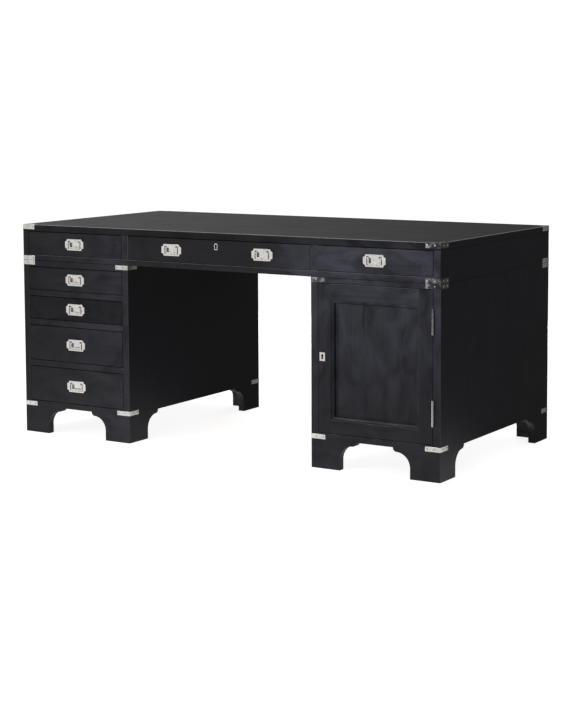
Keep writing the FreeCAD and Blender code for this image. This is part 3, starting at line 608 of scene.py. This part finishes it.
def length(name, description, default):
    """Property for a length, its default in millimetres."""
    return bpy.props.FloatProperty(name=name, description=description, default=default * MM, unit="LENGTH")


def tint(name, description, default):
    """Property for a colour, as an sRGB hex value."""
    return bpy.props.StringProperty(name=name, description="sRGB hex of " + description, default=default)


def factor(name, description, default):
    """Property for a share from zero to one."""
    return bpy.props.FloatProperty(
        name=name, description=description, default=default, min=0, max=1, subtype="FACTOR"
    )


class DeskLooks(bpy.types.PropertyGroup):
    """Colours and finishes of the desk and its stage."""
    lacquer_dark: tint("Lacquer, dark", "the deep parts of the lacquer", "#070710")
    # The light colour is laid on by place as well as in clouds, a painted sheen
    lacquer_light: tint("Lacquer, light", "the cloudy parts of the lacquer", "#414450")
    # The edge colour is a painted highlight on the rounded upper edges
    lacquer_arris: tint("Lacquer, edges", "the edges, where the lacquer is worn thin", "#d8d8dc")
    lacquer_dull: factor("Lacquer, dull", "Roughness where the lacquer wasn't rubbed", 0.56)
    lacquer_top: factor("Lacquer, top", "Roughness of the writing surface", 0.46)
    lacquer_gloss: factor("Lacquer, gloss", "Roughness of the best rubbed parts", 0.25)
    lacquer_haze: factor("Lacquer, haze", "Roughness of the dull parts of the front", 0.52)
    beech_light: tint("Beech, light", "the pale wood", "#c9a77c")
    beech_dark: tint("Beech, dark", "the wood's darker bands", "#a47f55")
    nickel_bright: tint("Nickel, bright", "clean plate", "#d6d5d2")
    # On faces at the right end the screws take this colour fully, a painted shade
    nickel_dim: tint("Nickel, dim", "the brackets' screws", "#9a9792")
    nickel_tarnish: tint("Nickel, tarnish", "tarnished plate", "#c6c0b4")
    # Besides the spots, this colour is a painted shade on the faces of the brackets and hinges at the right
    # end
    nickel_spots_and_shade: tint("Nickel, worn", "the dark spots on the worn brackets", "#484950")
    steel_dark: tint("Steel, dark", "the file marks", "#6f6f70")
    steel_light: tint("Steel, light", "the steel between the file marks", "#a4a4a3")
    floor_width: length("Floor width", "Width of the floor that the metal mirrors", 3200)
    floor_front: length("Floor, front", "Reach of the mirrored floor to the front", 1150)
    floor_back: length("Floor, back", "Reach of the mirrored floor to the back", 50)
    floor_reach: bpy.props.FloatProperty(
        name="Floor reach", description="How many times the whole floor is larger", default=30
    )
    floor_colour: tint("Floor", "the floor", "#bcbcbc")
    floor_glow: factor("Floor glow", "Light that the floor gives off by itself", 0.88)


class DeskHandles(bpy.types.PropertyGroup):
    """Sizes of the flush handles."""
    plate_width: length("Plate width", "Width of the flange", 85)
    plate_height: length("Plate height", "Height of the flange", 41)
    plate_thick: length("Plate thickness", "Thickness of the flange", 1.8)
    plate_proud: length("Plate proud", "How far the flange stands out of the wood", 0.8)
    plate_scoop: length("Corner scoop", "Radius of the scooped corners", 9)
    housing_width: length("Housing width", "Width of the box behind the flange", 68.4)
    housing_height: length("Housing height", "Height of the box behind the flange", 33.4)
    cup_clip: length("Housing corner", "Clip of the housing's corners", 5)
    cup_top: length("Cup top", "Height of the finger cup's top over the handle's middle", 7.4)
    cup_depth: length("Cup depth", "Depth of the finger cup", 6.5)
    cup_wall: length("Cup wall", "Thickness of the cup's wall", 1.2)
    seat_depth: length("Seat depth", "Depth of the slot that the pull lies in", 6.2)
    pivot_height: length("Pivot height", "Height of the pivots over the handle's middle", 8.1)
    pivot_depth: length("Pivot depth", "Depth of the pivots behind the front", 3.0)
    pull_width: length("Pull width", "Width of the pull over its arms", 51)
    pull_strap: length("Pull strap", "Width of the pull's flat bar", 5)
    pull_thick: length("Pull thickness", "Thickness of the pull's flat bar", 4.4)
    pull_proud: length("Pull proud", "How far the pull stands out of the wood", 1.2)
    pull_low: length("Pull lower edge", "Height of the pull's lower edge over the handle's middle", -13.5)
    pull_gap: length("Pull gap", "Gap under and inside the pull", 1.6)
    pull_side: length("Pull side gap", "Gap beside the pull's arms", 2.9)
    pull_clear: length("Pull clearance", "Room over the pivots for the swing", 5.1)
    pull_round: length("Pull rounding", "Rounding of the pull's edges", 1.1)
    knuckle_radius: length("Knuckle radius", "Radius of the arms' ends", 2.5)
    pin_radius: length("Pin radius", "Radius of the pivots", 2.2)
    screw_radius: length("Screw radius", "Radius of the flange's screw heads", 2.1)
    screw_height: length("Screw height", "Height of the flange's screw heads", 0.5)
    edge_break: length("Broken edge", "Width of the broken edges", 0.4)


class DeskBoards(bpy.types.PropertyGroup):
    """Sizes of the boards' edges and the drawer boxes' dovetails."""
    easing: length("Easing", "Rounding of the boards' long edges", 1.5)
    long_edge: length("Long edge", "Shortest edge that is rounded on a straight board", 70)
    short_edge: length("Short edge", "Shortest edge that is rounded on a shaped board", 12)
    box_easing: length("Box easing", "Rounding of the drawer boxes' long edges", 0.8)
    tail_width: length("Tail width", "Width of a dovetail at its root", 13)
    tail_length: length("Tail length", "How far a dovetail laps into the front", 14)
    tail_depth: length("Tail depth", "Depth of a dovetail into the front's end", 9)
    tail_pitch: length("Tail pitch", "Usual distance between dovetails", 30)
    tail_flare: bpy.props.FloatProperty(
        name="Tail flare", description="How many times wider a dovetail's tip is", default=1.45
    )


class DeskBrackets(bpy.types.PropertyGroup):
    """Sizes of the corner brackets and the door's keyhole."""
    reach: length("Leaf", "Length of a leaf", 55)
    height: length("Height", "Height of a bracket", 16)
    top_height: length("Top height", "Height of the top's brackets and width of their lids", 18)
    seam: length("Seam", "Gap between the brackets over and under the split", 1.4)
    thick: length("Thickness", "Thickness of the metal", 1.6)
    proud: length("Proud", "How far the metal stands out of the wood", 0.5)
    bend: length("Bend", "Radius at the corner", 1.2)
    knee_side: length("Kneehole", "Distance of the pedestals' inner sides from the middle", 384)
    screw_near: length("Near screw", "Distance of the near screws from the corner", 21)
    screw_far: length("Far screw", "Distance of the far screws from the corner", 48)
    screw_radius: length("Screw radius", "Radius of the screw heads", 2.7)
    screw_height: length("Screw height", "Height of the screw heads", 0.72)
    screw_turn: bpy.props.FloatProperty(
        name="Slot turn", description="Turn from one slot to the next", default=2.4, subtype="ANGLE"
    )
    edge_break: length("Broken edge", "Width of the broken edges", 0.3)
    key_slot: length("Key slot", "Width of the slot in the door's keyhole plate", 6.2)
    key_height: length("Key height", "Height of the hole in the door's keyhole plate", 17)
    key_round: length("Key round", "Radius of the hole's round end", 4.2)


# Lacquered nodes by the way that their grain runs
LACQUERED = {
    "x": (
        "upper_left_drawer_front", "centre_drawer_front", "upper_right_drawer_front",
        "pedestal_drawer_1_front", "pedestal_drawer_2_front", "pedestal_drawer_3_front",
        "pedestal_drawer_4_front", "door_rails", "desk_top", "top_section_rails", "top_section_back",
        "drawer_rails", "pedestal_caps", "pedestal_bottoms", "cupboard_shelf", "bracket_feet",
    ),
    "y": ("top_section_ends", "top_section_dividers"),
    "z": ("pedestal_sides", "pedestal_backs", "door_stiles", "door_panel", "door_moulding"),
}

# Nodes of bare wood besides the drawer boxes
BARE = ("drawer_runners", "locating_dowels", "shelf_pegs")

# Sheen marks of the upper, upright and lower edges: above zero a painted highlight in the pale edge colour,
# below zero they are dull with dust and old wax
NO_WEAR = (0.0, 0.0, 0.0)
FRONT_WEAR = (-1.0, -0.7, 0.0)
EDGE_SHEEN_MARKS = {
    "desk_top": (0.36, 0.0, -0.5),
    "top_section_rails": (0.12, 0.0, -0.6),
    "top_section_dividers": (0.0, 0.12, 0.0),
    "pedestal_caps": (-1.0, 0.0, -0.6),
    "pedestal_sides": (-1.0, 0.06, 0.0),
    "drawer_rails": (0.0, 0.0, -0.4),
    "door_rails": (0.15, 0.0, -1.0),
    "door_stiles": (0.0, -0.8, -1.0),
    "door_moulding": (0.04, 0.0, -1.0),
    "bracket_feet": (-0.5, 0.04, 0.04),
}

# How cloudy the lacquer of a board is beside the usual, which is one
RUBBED = {
    "desk_top": 0.3, "pedestal_drawer_2_front": 0.2, "drawer_rails": 1.5, "top_section_rails": 1.2,
    "door_stiles": 0.75,
}

# Boards that are sawn to a shape, with short edges to round
SHAPED = ("bracket_feet", "door_moulding")

# Drawers and the nodes of their pulls
DRAWERS = {
    name: [name + "_bail"]
    for name in (
        "upper_left_drawer", "upper_right_drawer", "pedestal_drawer_1", "pedestal_drawer_2",
        "pedestal_drawer_3", "pedestal_drawer_4",
    )
}
DRAWERS["centre_drawer"] = ["centre_drawer_left_bail", "centre_drawer_right_bail"]

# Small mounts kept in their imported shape: piece, body, slot and material
SMALL_MOUNTS = {
    "pedestal_hinge_leaves": ("fixed_leaves", "carcass", "nickel_plate", "worn_nickel"),
    "door_hinge_leaves": ("door_leaves", "door", "nickel_plate", "worn_nickel"),
    "hinge_pins": ("hinge_pintles", "carcass", "nickel_plate", "worn_nickel"),
    "door_keyhole_plate": ("door_escutcheon", "door", "nickel_plate", "polished_nickel"),
    "centre_drawer_keyhole_ring": ("drawer_escutcheon", "centre_drawer", "nickel_plate", "polished_nickel"),
    "door_lock_case": ("door_lock", "door", "lock_steel", "filed_steel"),
    "centre_drawer_lock_case": ("drawer_lock", "centre_drawer", "lock_steel", "filed_steel"),
}


def paint(node, material):
    """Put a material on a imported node."""
    slots = NODES[node].material_slots
    if slots:
        slots[0].material = material
    else:
        NODES[node].data.materials.append(material)


class DESK_OT_finish(bpy.types.Operator):
    """Finish the boards, drawer boxes, mounts and locks"""
    bl_idname = "writing_desk.finish"
    bl_label = "Finishes"

    def execute(self, context):
        look = context.scene.desk_looks
        lacquered = set()
        for grain, nodes in LACQUERED.items():
            material = ebonised_lacquer(look, grain)
            for node in nodes:
                paint(node, material)
                lacquered.add(node)
        beech = bare_beech(look, "y")
        nickel = polished_nickel(look, "polished_nickel")
        polished_nickel(look, "screw_nickel", look.nickel_dim)
        polished_nickel(look, "worn_nickel", look.nickel_spots_and_shade, spotted=True)
        steel = filed_steel(look)
        for name in NODES:
            if name in lacquered:
                continue
            if name.endswith("_box") or name in BARE:
                paint(name, beech)
            elif "lock_" in name:
                paint(name, steel)
            else:
                paint(name, nickel)
        return {"FINISHED"}


def body_of(node):
    """Body that a board belongs to, from the board's name."""
    if node.startswith("door_"):
        return "door"
    return node.removesuffix("_front") if node.endswith("_front") else "carcass"


class DESK_OT_boards(bpy.types.Operator):
    """Round the edges of the boards that show, where the lacquer catches the light"""
    bl_idname = "writing_desk.boards"
    bl_label = "Boards"

    def execute(self, context):
        sizes = context.scene.desk_boards
        for grain, nodes in LACQUERED.items():
            for node in nodes:
                piece = copy_of(NODES[node], node + "_board")
                shortest = sizes.short_edge if node in SHAPED else sizes.long_edge
                sheen_marks = EDGE_SHEEN_MARKS.get(node, FRONT_WEAR if node.endswith("_front") else NO_WEAR)
                eased(context, piece, sizes.easing, shortest, sheen_marks, RUBBED.get(node, 1))
                dressed(piece, "ebonised_lacquer_" + grain, body_of(node), "ebonised_wood", node)
        return {"FINISHED"}


class DESK_OT_boxes(bpy.types.Operator):
    """Model the drawer boxes with dovetails that lap into the ends of the drawer fronts"""
    bl_idname = "writing_desk.boxes"
    bl_label = "Drawer boxes"

    def tail(self, context, sizes, face, way, root, middle):
        """One dovetail, wider at its tip, flush with a side board's outer face."""
        half = sizes.tail_width / 2
        left, right = sorted((face, face + way * sizes.tail_depth))
        tail = bar(
            context, "tail", (left, root - sizes.tail_length, middle - half), (right, root, middle + half)
        )
        bpy.ops.object.mode_set(mode="EDIT")
        pick(context, "faces", lambda face: face.normal.y < -SQUARE)
        bpy.ops.transform.resize(value=(1, 1, sizes.tail_flare))
        bpy.ops.object.mode_set(mode="OBJECT")
        return tail

    def execute(self, context):
        sizes = context.scene.desk_boards
        for drawer in DRAWERS:
            node = drawer + "_box"
            low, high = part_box(node)
            box = copy_of(NODES[node], "box")
            eased(context, box, sizes.box_easing, sizes.long_edge)
            pieces = [box]
            count = max(2, round((high.z - low.z) / sizes.tail_pitch))
            pitch = (high.z - low.z) / count
            for way, face in ((1, low.x), (-1, high.x)):
                for row in range(count):
                    middle = low.z + pitch * (row + 0.5)
                    pieces.append(self.tail(context, sizes, face, way, low.y, middle))
            box = gathered(context, drawer + "_dovetailed_box", pieces)
            dressed(box, "bare_beech_y", drawer, "bare_wood", node)
        return {"FINISHED"}


def screw_head(context, sizes):
    """Domed screw head with a slot, seated on the plane at zero and facing the front."""
    radius, height = sizes.screw_radius, sizes.screw_height
    top, dome, rise = radius * 0.82, radius * 0.42, height * 0.25
    slot_half, slot_depth = radius * 0.13, height * 0.55
    bpy.ops.object.select_all(action="DESELECT")
    bpy.ops.mesh.primitive_cone_add(
        vertices=14, radius1=radius, radius2=top, depth=height,
        location=(0, -height / 2, 0), rotation=(math.pi / 2, 0, 0),
    )
    head = settled(context, "screw_head")
    bpy.ops.object.mode_set(mode="EDIT")
    pick(context, "faces", lambda face: face.normal.y < -SQUARE)
    bpy.ops.mesh.inset(thickness=dome, depth=rise)
    bpy.ops.object.mode_set(mode="OBJECT")
    floor = slot_depth - height - rise
    slot = bar(context, "slot", (-radius * 2, -height * 2, -slot_half), (radius * 2, floor, slot_half))
    joined(context, head, slot, "DIFFERENCE")
    return head


def clipped_box(context, name, low, high, clip):
    """Block whose four edges along the depth are clipped."""
    block = bar(context, name, low, high)
    bpy.ops.object.mode_set(mode="EDIT")
    pick(
        context, "edges",
        lambda edge: abs((edge.verts[0].co - edge.verts[1].co).normalized().y) > SQUARE,
    )
    bpy.ops.mesh.bevel(offset=clip, offset_type="WIDTH", segments=1)
    bpy.ops.object.mode_set(mode="OBJECT")
    return block


class DESK_OT_handle_plates(bpy.types.Operator):
    """Model the flush handle plates: scooped flange, seat of the pull, finger cup and screws"""
    bl_idname = "writing_desk.handle_plates"
    bl_label = "Handle plates"

    def hollows(self, sizes):
        """Hollows of the plate: lower left corner, upper right corner and depth."""
        outer = sizes.pull_width / 2 + sizes.pull_side
        inner = sizes.pull_width / 2 - sizes.pull_strap - sizes.pull_gap
        low = sizes.pull_low - sizes.pull_gap
        step = sizes.pull_low + sizes.pull_strap + sizes.pull_gap
        top = sizes.pivot_height + sizes.pull_clear
        yield (-outer, low), (-inner, top), sizes.seat_depth
        yield (inner, low), (outer, top), sizes.seat_depth
        yield (-outer, low), (outer, step), sizes.seat_depth
        yield (-inner, step), (inner, sizes.cup_top), sizes.cup_depth

    def execute(self, context):
        sizes = context.scene.desk_handles
        width, height = sizes.plate_width / 2, sizes.plate_height / 2
        face, back = -sizes.plate_proud, sizes.plate_thick - sizes.plate_proud
        # Cutters reach well past the plate's faces
        before, behind = face * 4, back * 4
        plate = bar(context, "handle_plate", (-width, face, -height), (width, back, height))
        for x in (-width, width):
            for z in (-height, height):
                scoop = round_bar(
                    context, "scoop", sizes.plate_scoop, (x, before, z), (x, behind, z), sides=48
                )
                joined(context, plate, scoop, "DIFFERENCE")
        x, z = sizes.housing_width / 2, sizes.housing_height / 2
        housing = clipped_box(
            context, "housing", (-x, back - sizes.cup_wall / 2, -z), (x, sizes.cup_depth + sizes.cup_wall, z),
            sizes.cup_clip * math.sqrt(2),
        )
        joined(context, plate, housing, "UNION")
        lap = sizes.pull_gap / 2
        for (left, low), (right, high), depth in self.hollows(sizes):
            hollow = bar(context, "hollow", (left - lap, before, low), (right + lap, depth, high + lap))
            joined(context, plate, hollow, "DIFFERENCE")
        softened(context, plate, sizes.edge_break)
        screw = screw_head(context, sizes)
        ends = []
        # Side of each screw and the angle where it happened to tighten
        for way, turn in ((-1, 0.5), (1, -0.3)):
            place = Matrix.Translation((way * (x + width) / 2, face, 0)) @ Matrix.Rotation(turn, 4, "Y")
            ends.append(copy_of(screw, "plate_screw", place))
        model = gathered(context, "handle_plate", [plate] + ends)
        for drawer, pulls in DRAWERS.items():
            node = drawer + "_handle_plate"
            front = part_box(drawer + "_front")[0].y
            places = [Vector((middle_of(pull).x, front, middle_of(node).z)) for pull in pulls]
            copies = [copy_of(model, "plate_copy", Matrix.Translation(place)) for place in places]
            piece = gathered(context, drawer + "_flush_plate", copies)
            dressed(piece, "polished_nickel", drawer, "nickel_plate", node)
        for used in (model, screw):
            bpy.data.objects.remove(used)
        return {"FINISHED"}


class DESK_OT_pulls(bpy.types.Operator):
    """Model the flat pulls that swing out of the handle plates"""
    bl_idname = "writing_desk.pulls"
    bl_label = "Pulls"

    def execute(self, context):
        sizes = context.scene.desk_handles
        outer, strap, low = sizes.pull_width / 2, sizes.pull_strap, sizes.pull_low
        inner = outer - strap
        front, back = -sizes.pull_proud, sizes.pull_thick - sizes.pull_proud
        top, depth = sizes.pivot_height, sizes.pivot_depth
        crown = sizes.knuckle_radius * 0.6
        pull = bar(context, "pull", (-inner, front, low), (inner, back, low + strap))
        bpy.ops.object.mode_set(mode="EDIT")
        for way in (-1, 1):
            pick(
                context, "faces",
                lambda face: face.normal.x * way > SQUARE and face.calc_center_median().x * way > 0,
            )
            extrude((way * strap, 0, 0))
        for height in (top - low - strap, crown):
            pick(
                context, "faces",
                lambda face: face.normal.z > SQUARE and abs(face.calc_center_median().x) > inner,
            )
            extrude((0, 0, height))
        bpy.ops.object.mode_set(mode="OBJECT")
        for way in (-1, 1):
            knuckle = round_bar(
                context, "knuckle", sizes.knuckle_radius,
                (way * inner, depth, top), (way * outer, depth, top), sides=24,
            )
            joined(context, pull, knuckle, "UNION")
        softened(context, pull, sizes.pull_round)
        pins = []
        for way in (-1, 1):
            start, end = way * (outer - strap / 2), way * (sizes.housing_width / 2 - sizes.cup_wall / 2)
            pins.append(
                round_bar(context, "pin", sizes.pin_radius, (start, depth, top), (end, depth, top), sides=16)
            )
        pull = gathered(context, "pull", [pull] + pins)
        for drawer, pulls in DRAWERS.items():
            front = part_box(drawer + "_front")[0].y
            height = middle_of(drawer + "_handle_plate").z
            for node in pulls:
                place = Matrix.Translation((middle_of(node).x, front, height))
                piece = copy_of(pull, node.replace("_bail", "_pull"), place)
                dressed(piece, "polished_nickel", node, "nickel_plate", node)
        bpy.data.objects.remove(pull)
        return {"FINISHED"}


def bracket_corners(sizes):
    """Every bracket: whether it is one of the top's, and its place, mirrored to the left or the back."""
    low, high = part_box("desk_top")
    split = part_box("top_section_ends")[0].z
    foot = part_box("pedestal_sides")[0].z
    knee = sizes.knee_side
    outer = ((-1, low.x), (1, high.x))
    every = outer + ((1, -knee), (-1, knee))
    ends = ((1, low.y), (-1, high.y))
    rows = (
        (True, outer, high.z - sizes.top_height),
        (False, outer, split + sizes.seam / 2),
        (False, every, split - sizes.seam / 2 - sizes.height),
        (False, every, foot),
    )
    for is_top, sides, z in rows:
        for x_way, x in sides:
            for y_way, y in ends:
                yield is_top, Matrix.Translation((x, y, z)) @ Matrix.Diagonal((x_way, y_way, 1, 1))


class DESK_OT_brackets(bpy.types.Operator):
    """Model the corner brackets and their slotted screws"""
    bl_idname = "writing_desk.brackets"
    bl_label = "Corner brackets"

    def model(self, context, sizes, is_top):
        """Bracket of a front right corner, about the corner."""
        height = sizes.top_height if is_top else sizes.height
        outer, inner, reach = sizes.proud, sizes.proud - sizes.thick, sizes.reach
        near = 0.01 * MM
        piece = bar(context, "bracket", (inner, -outer, 0), (outer, -inner, height))
        bpy.ops.object.mode_set(mode="EDIT")
        pick(context, "faces", lambda face: face.normal.x < -SQUARE)
        extrude((-reach - inner, 0, 0))
        pick(context, "faces", lambda face: face.normal.y > SQUARE and face.calc_center_median().x > inner)
        extrude((0, reach + inner, 0))
        pick(
            context, "edges",
            lambda edge: all(
                abs(point.co.x - outer) < near and abs(point.co.y + outer) < near for point in edge.verts
            ),
        )
        bpy.ops.mesh.bevel(offset=sizes.bend, segments=4)
        bpy.ops.object.mode_set(mode="OBJECT")
        if is_top:
            under, lap = height - sizes.thick, inner / 2
            for low, high in (
                ((-reach, -lap, under), (lap, height, height)),
                ((-height, -lap, under), (lap, reach, height)),
            ):
                joined(context, piece, bar(context, "lid", low, high), "UNION")
        softened(context, piece, sizes.edge_break)
        return piece

    def execute(self, context):
        sizes = context.scene.desk_brackets
        models = {is_top: self.model(context, sizes, is_top) for is_top in (True, False)}
        head = screw_head(context, sizes)
        to_side = Matrix.Rotation(math.pi / 2, 4, "Z")
        brackets = {True: [], False: []}
        screws = []
        for is_top, place in bracket_corners(sizes):
            brackets[is_top].append(copy_of(models[is_top], "bracket_copy", place))
            height = (sizes.top_height if is_top else sizes.height) / 2
            for reach in (sizes.screw_near, sizes.screw_far):
                on_front = Matrix.Translation((-reach, -sizes.proud, height))
                on_side = Matrix.Translation((sizes.proud, reach, height)) @ to_side
                for seat in (on_front, on_side):
                    # Slots stand at the angle where each screw happened to tighten
                    turn = Matrix.Rotation(len(screws) * sizes.screw_turn, 4, "Y")
                    screws.append(copy_of(head, "screw_copy", place @ seat @ turn))
        rows = (
            (brackets[True], "top_mounts", "worn_nickel", "top_corner_brackets"),
            (brackets[False], "corner_mounts", "worn_nickel", "corner_brackets"),
            (screws, "mount_screws", "screw_nickel", "bracket_screws"),
        )
        for pieces, name, material, node in rows:
            dressed(gathered(context, name, pieces), material, "carcass", "nickel_plate", node)
        for used in (models[True], models[False], head):
            bpy.data.objects.remove(used)
        return {"FINISHED"}


class DESK_OT_small_mounts(bpy.types.Operator):
    """Break the edges of the hinges, keyhole mounts and locks"""
    bl_idname = "writing_desk.small_mounts"
    bl_label = "Hinges, keyholes and locks"

    def widen_keyhole(self, context, piece, node):
        """Open the plate's keyhole round the hole in the wood."""
        sizes = context.scene.desk_brackets
        merged(context, piece)
        middle = middle_of(node)
        half, reach, through = sizes.key_slot / 2, sizes.key_height / 2, 20 * MM
        low = middle - Vector((half, through, reach))
        high = middle + Vector((half, through, reach - sizes.key_round))
        joined(context, piece, bar(context, "slot", low, high), "DIFFERENCE")
        start, end = middle - Vector((0, through, 0)), middle + Vector((0, through, 0))
        start.z = end.z = high.z
        joined(context, piece, round_bar(context, "eye", sizes.key_round, start, end), "DIFFERENCE")

    def execute(self, context):
        width = context.scene.desk_brackets.edge_break
        for node, (name, body, slot, material) in SMALL_MOUNTS.items():
            piece = copy_of(NODES[node], name)
            if node == "door_keyhole_plate":
                self.widen_keyhole(context, piece, node)
            softened(context, piece, width)
            dressed(piece, material, body, slot, node)
        return {"FINISHED"}


# Radius of the tent round the stage, in metres
TENT_RADIUS = 45

# Even light from all round: tint and strength
EVEN_LIGHT = ("#e8e4da", 0.09)

# Soft glows of the studio: direction, cosine where each starts and is full, strength, tint
GLOWS = (
    ((-0.66, -0.75, -0.10), 0.88, 0.985, 1.0, "#f5f3f4"),
    ((-0.88, 0.46, 0.16), 0.70, 1.0, 0.50, "#fffcfd"),
    ((0.0, -0.3, 1.0), 0.4, 1.0, 0.25, "#ffffff"),
    ((0.8, -0.6, 0.1), 0.85, 1.0, 0.55, "#ffffff"),
    ((0.45, 0.88, 0.0), 0.5, 1.0, 0.03, "#f0eeec"),
    ((0.49, 0.86, -0.10), 0.97, 0.99, 0.16, "#ffffff"),
    ((0.0, 0.0, -1.0), 0.40, 0.62, 0.75, "#ffffff"),
    ((0.35, 0.6, 0.7), 0.72, 1.0, 0.40, "#ffffff"),
)

# Softboxes: place, aim, width, height, power
LAMPS = {
    "key_softbox": ((-2.2, -4.8, 2.6), (0.3, -0.4, 0.4), 2.2, 1.6, 70),
    "back_softbox": ((-1.0, 3.4, 0.42), (-0.2, 0.43, 0.42), 1.2, 0.6, 40),
    "top_softbox": ((-0.6, -0.6, 4.6), (0.0, 0.0, 0.5), 4.0, 4.0, 60),
}

# Camera of the photograph, from a fit to the desk's edges; focal length and shift in pixels of its height
CAMERA_PLACE = (3.3462, -5.3141, 1.2446)
CAMERA_TURN = math.radians(32.083)
CAMERA_PITCH = math.radians(5.195)
CAMERA_ROLL = math.radians(-0.274)
CAMERA_FOCAL = 1715.1
CAMERA_SHIFT = -100
PHOTO_HEIGHT = 707


class DESK_OT_stage(bpy.types.Operator):
    """Set up the floor, the lights and the camera"""
    bl_idname = "writing_desk.stage"
    bl_label = "Stage"

    def lay_floor(self, context):
        """Floor in two pieces: the near one shows in the metal, the far one round it doesn't."""
        look = context.scene.desk_looks
        board = white_board(look)
        depth, middle = look.floor_front + look.floor_back, (look.floor_back - look.floor_front) / 2
        floors = []
        for name in ("studio_floor_near", "studio_floor_far"):
            bpy.ops.mesh.primitive_plane_add(size=1, location=(0, middle, 0))
            context.object.scale = (look.floor_width, depth, 1)
            floors.append(settled(context, name))
        bpy.ops.object.mode_set(mode="EDIT")
        bpy.ops.mesh.select_all(action="SELECT")
        bpy.ops.mesh.delete(type="ONLY_FACE")
        bpy.ops.mesh.select_all(action="SELECT")
        bpy.ops.mesh.extrude_edges_move()
        bpy.ops.transform.resize(value=(look.floor_reach, look.floor_reach, 1))
        bpy.ops.object.mode_set(mode="OBJECT")
        floors[1].visible_glossy = False
        for floor in floors:
            floor.data.materials.append(board)

    def hang_tent(self, context):
        """White tent that only the camera sees."""
        bpy.ops.mesh.primitive_uv_sphere_add(segments=48, ring_count=24, radius=TENT_RADIUS)
        tent = context.object
        tent.name = "studio_tent"
        tent.data.materials.append(white_tent())
        tent.visible_glossy = tent.visible_diffuse = tent.visible_shadow = tent.visible_transmission = False

    def light_world(self, context):
        """Even light from all round, and the glows that the metal and the lacquer mirror."""
        world = bpy.data.worlds.new("studio")
        world.use_nodes = True
        tree = world.node_tree
        tree.nodes.clear()
        way = add_node(tree, "ShaderNodeTexCoord")
        shade, strength = EVEN_LIGHT
        light = add_node(tree, "ShaderNodeBackground", {"Color": solid(shade), "Strength": strength})
        for aim, edge, full, strength, shade in GLOWS:
            near = add_node(
                tree, "ShaderNodeVectorMath", {0: (way, "Generated"), 1: Vector(aim).normalized()},
                operation="DOT_PRODUCT",
            )
            lobe = add_node(
                tree, "ShaderNodeMapRange",
                {"Value": (near, "Value"), "From Min": edge, "From Max": full, "To Max": strength},
                interpolation_type="SMOOTHSTEP",
            )
            glow = add_node(tree, "ShaderNodeBackground", {"Color": solid(shade), "Strength": (lobe, 0)})
            light = add_node(tree, "ShaderNodeAddShader", {0: (light, 0), 1: (glow, 0)})
        add_node(tree, "ShaderNodeOutputWorld", {"Surface": (light, 0)})
        context.scene.world = world

    def set_lamps(self, context):
        """Softboxes, each turned to its aim."""
        for name, (place, aim, width, height, power) in LAMPS.items():
            bpy.ops.object.light_add(type="AREA", location=place)
            lamp = context.object
            lamp.name = name
            lamp.data.shape = "RECTANGLE"
            lamp.data.size = width
            lamp.data.size_y = height
            lamp.data.energy = power
            lamp.visible_camera = False
            lamp.rotation_euler = (Vector(aim) - Vector(place)).to_track_quat("-Z", "Y").to_euler()

    def set_camera(self, context):
        """Camera at the photograph's place."""
        bpy.ops.object.camera_add()
        camera = context.object
        camera.name = "photo_camera"
        camera.matrix_world = (
            Matrix.Translation(CAMERA_PLACE)
            @ Matrix.Rotation(CAMERA_TURN, 4, "Z")
            @ Matrix.Rotation(math.pi / 2 - CAMERA_PITCH, 4, "X")
            @ Matrix.Rotation(CAMERA_ROLL, 4, "Z")
        )
        camera.data.lens = CAMERA_FOCAL / PHOTO_HEIGHT * camera.data.sensor_width
        camera.data.shift_y = CAMERA_SHIFT / PHOTO_HEIGHT
        context.scene.camera = camera

    def execute(self, context):
        context.scene.view_settings.view_transform = "Standard"
        bpy.ops.object.select_all(action="DESELECT")
        self.lay_floor(context)
        self.hang_tent(context)
        self.light_world(context)
        self.set_lamps(context)
        self.set_camera(context)
        return {"FINISHED"}


class DESK_PT_panel(bpy.types.Panel):
    """Lists the steps that make the desk, and their settings"""
    bl_label = "Writing desk"
    bl_idname = "DESK_PT_panel"
    bl_space_type = "VIEW_3D"
    bl_region_type = "UI"
    bl_category = "Writing desk"

    def draw(self, context):
        for step in STEPS:
            self.layout.operator(step.bl_idname)
        for name, group in SETTINGS.items():
            column = self.layout.column(align=True)
            for setting in group.__annotations__:
                column.prop(getattr(context.scene, name), setting)


STEPS = (
    DESK_OT_finish, DESK_OT_boards, DESK_OT_boxes, DESK_OT_handle_plates, DESK_OT_pulls, DESK_OT_brackets,
    DESK_OT_small_mounts, DESK_OT_stage,
)
SETTINGS = {
    "desk_looks": DeskLooks, "desk_boards": DeskBoards, "desk_handles": DeskHandles,
    "desk_brackets": DeskBrackets,
}
CLASSES = (*SETTINGS.values(), *STEPS, DESK_PT_panel)


def register():
    """Add the classes, and the settings to the scene."""
    for one in CLASSES:
        bpy.utils.register_class(one)
    for name, group in SETTINGS.items():
        setattr(bpy.types.Scene, name, bpy.props.PointerProperty(type=group))


def unregister():
    """Take the settings and the classes away again."""
    for name in SETTINGS:
        delattr(bpy.types.Scene, name)
    for one in reversed(CLASSES):
        bpy.utils.unregister_class(one)


def main():
    """Make the desk and its stage."""
    register()
    bpy.ops.writing_desk.finish()
    bpy.ops.writing_desk.boards()
    bpy.ops.writing_desk.boxes()
    bpy.ops.writing_desk.handle_plates()
    bpy.ops.writing_desk.pulls()
    bpy.ops.writing_desk.brackets()
    bpy.ops.writing_desk.small_mounts()
    bpy.ops.writing_desk.stage()


if __name__ == "__main__":
    main()
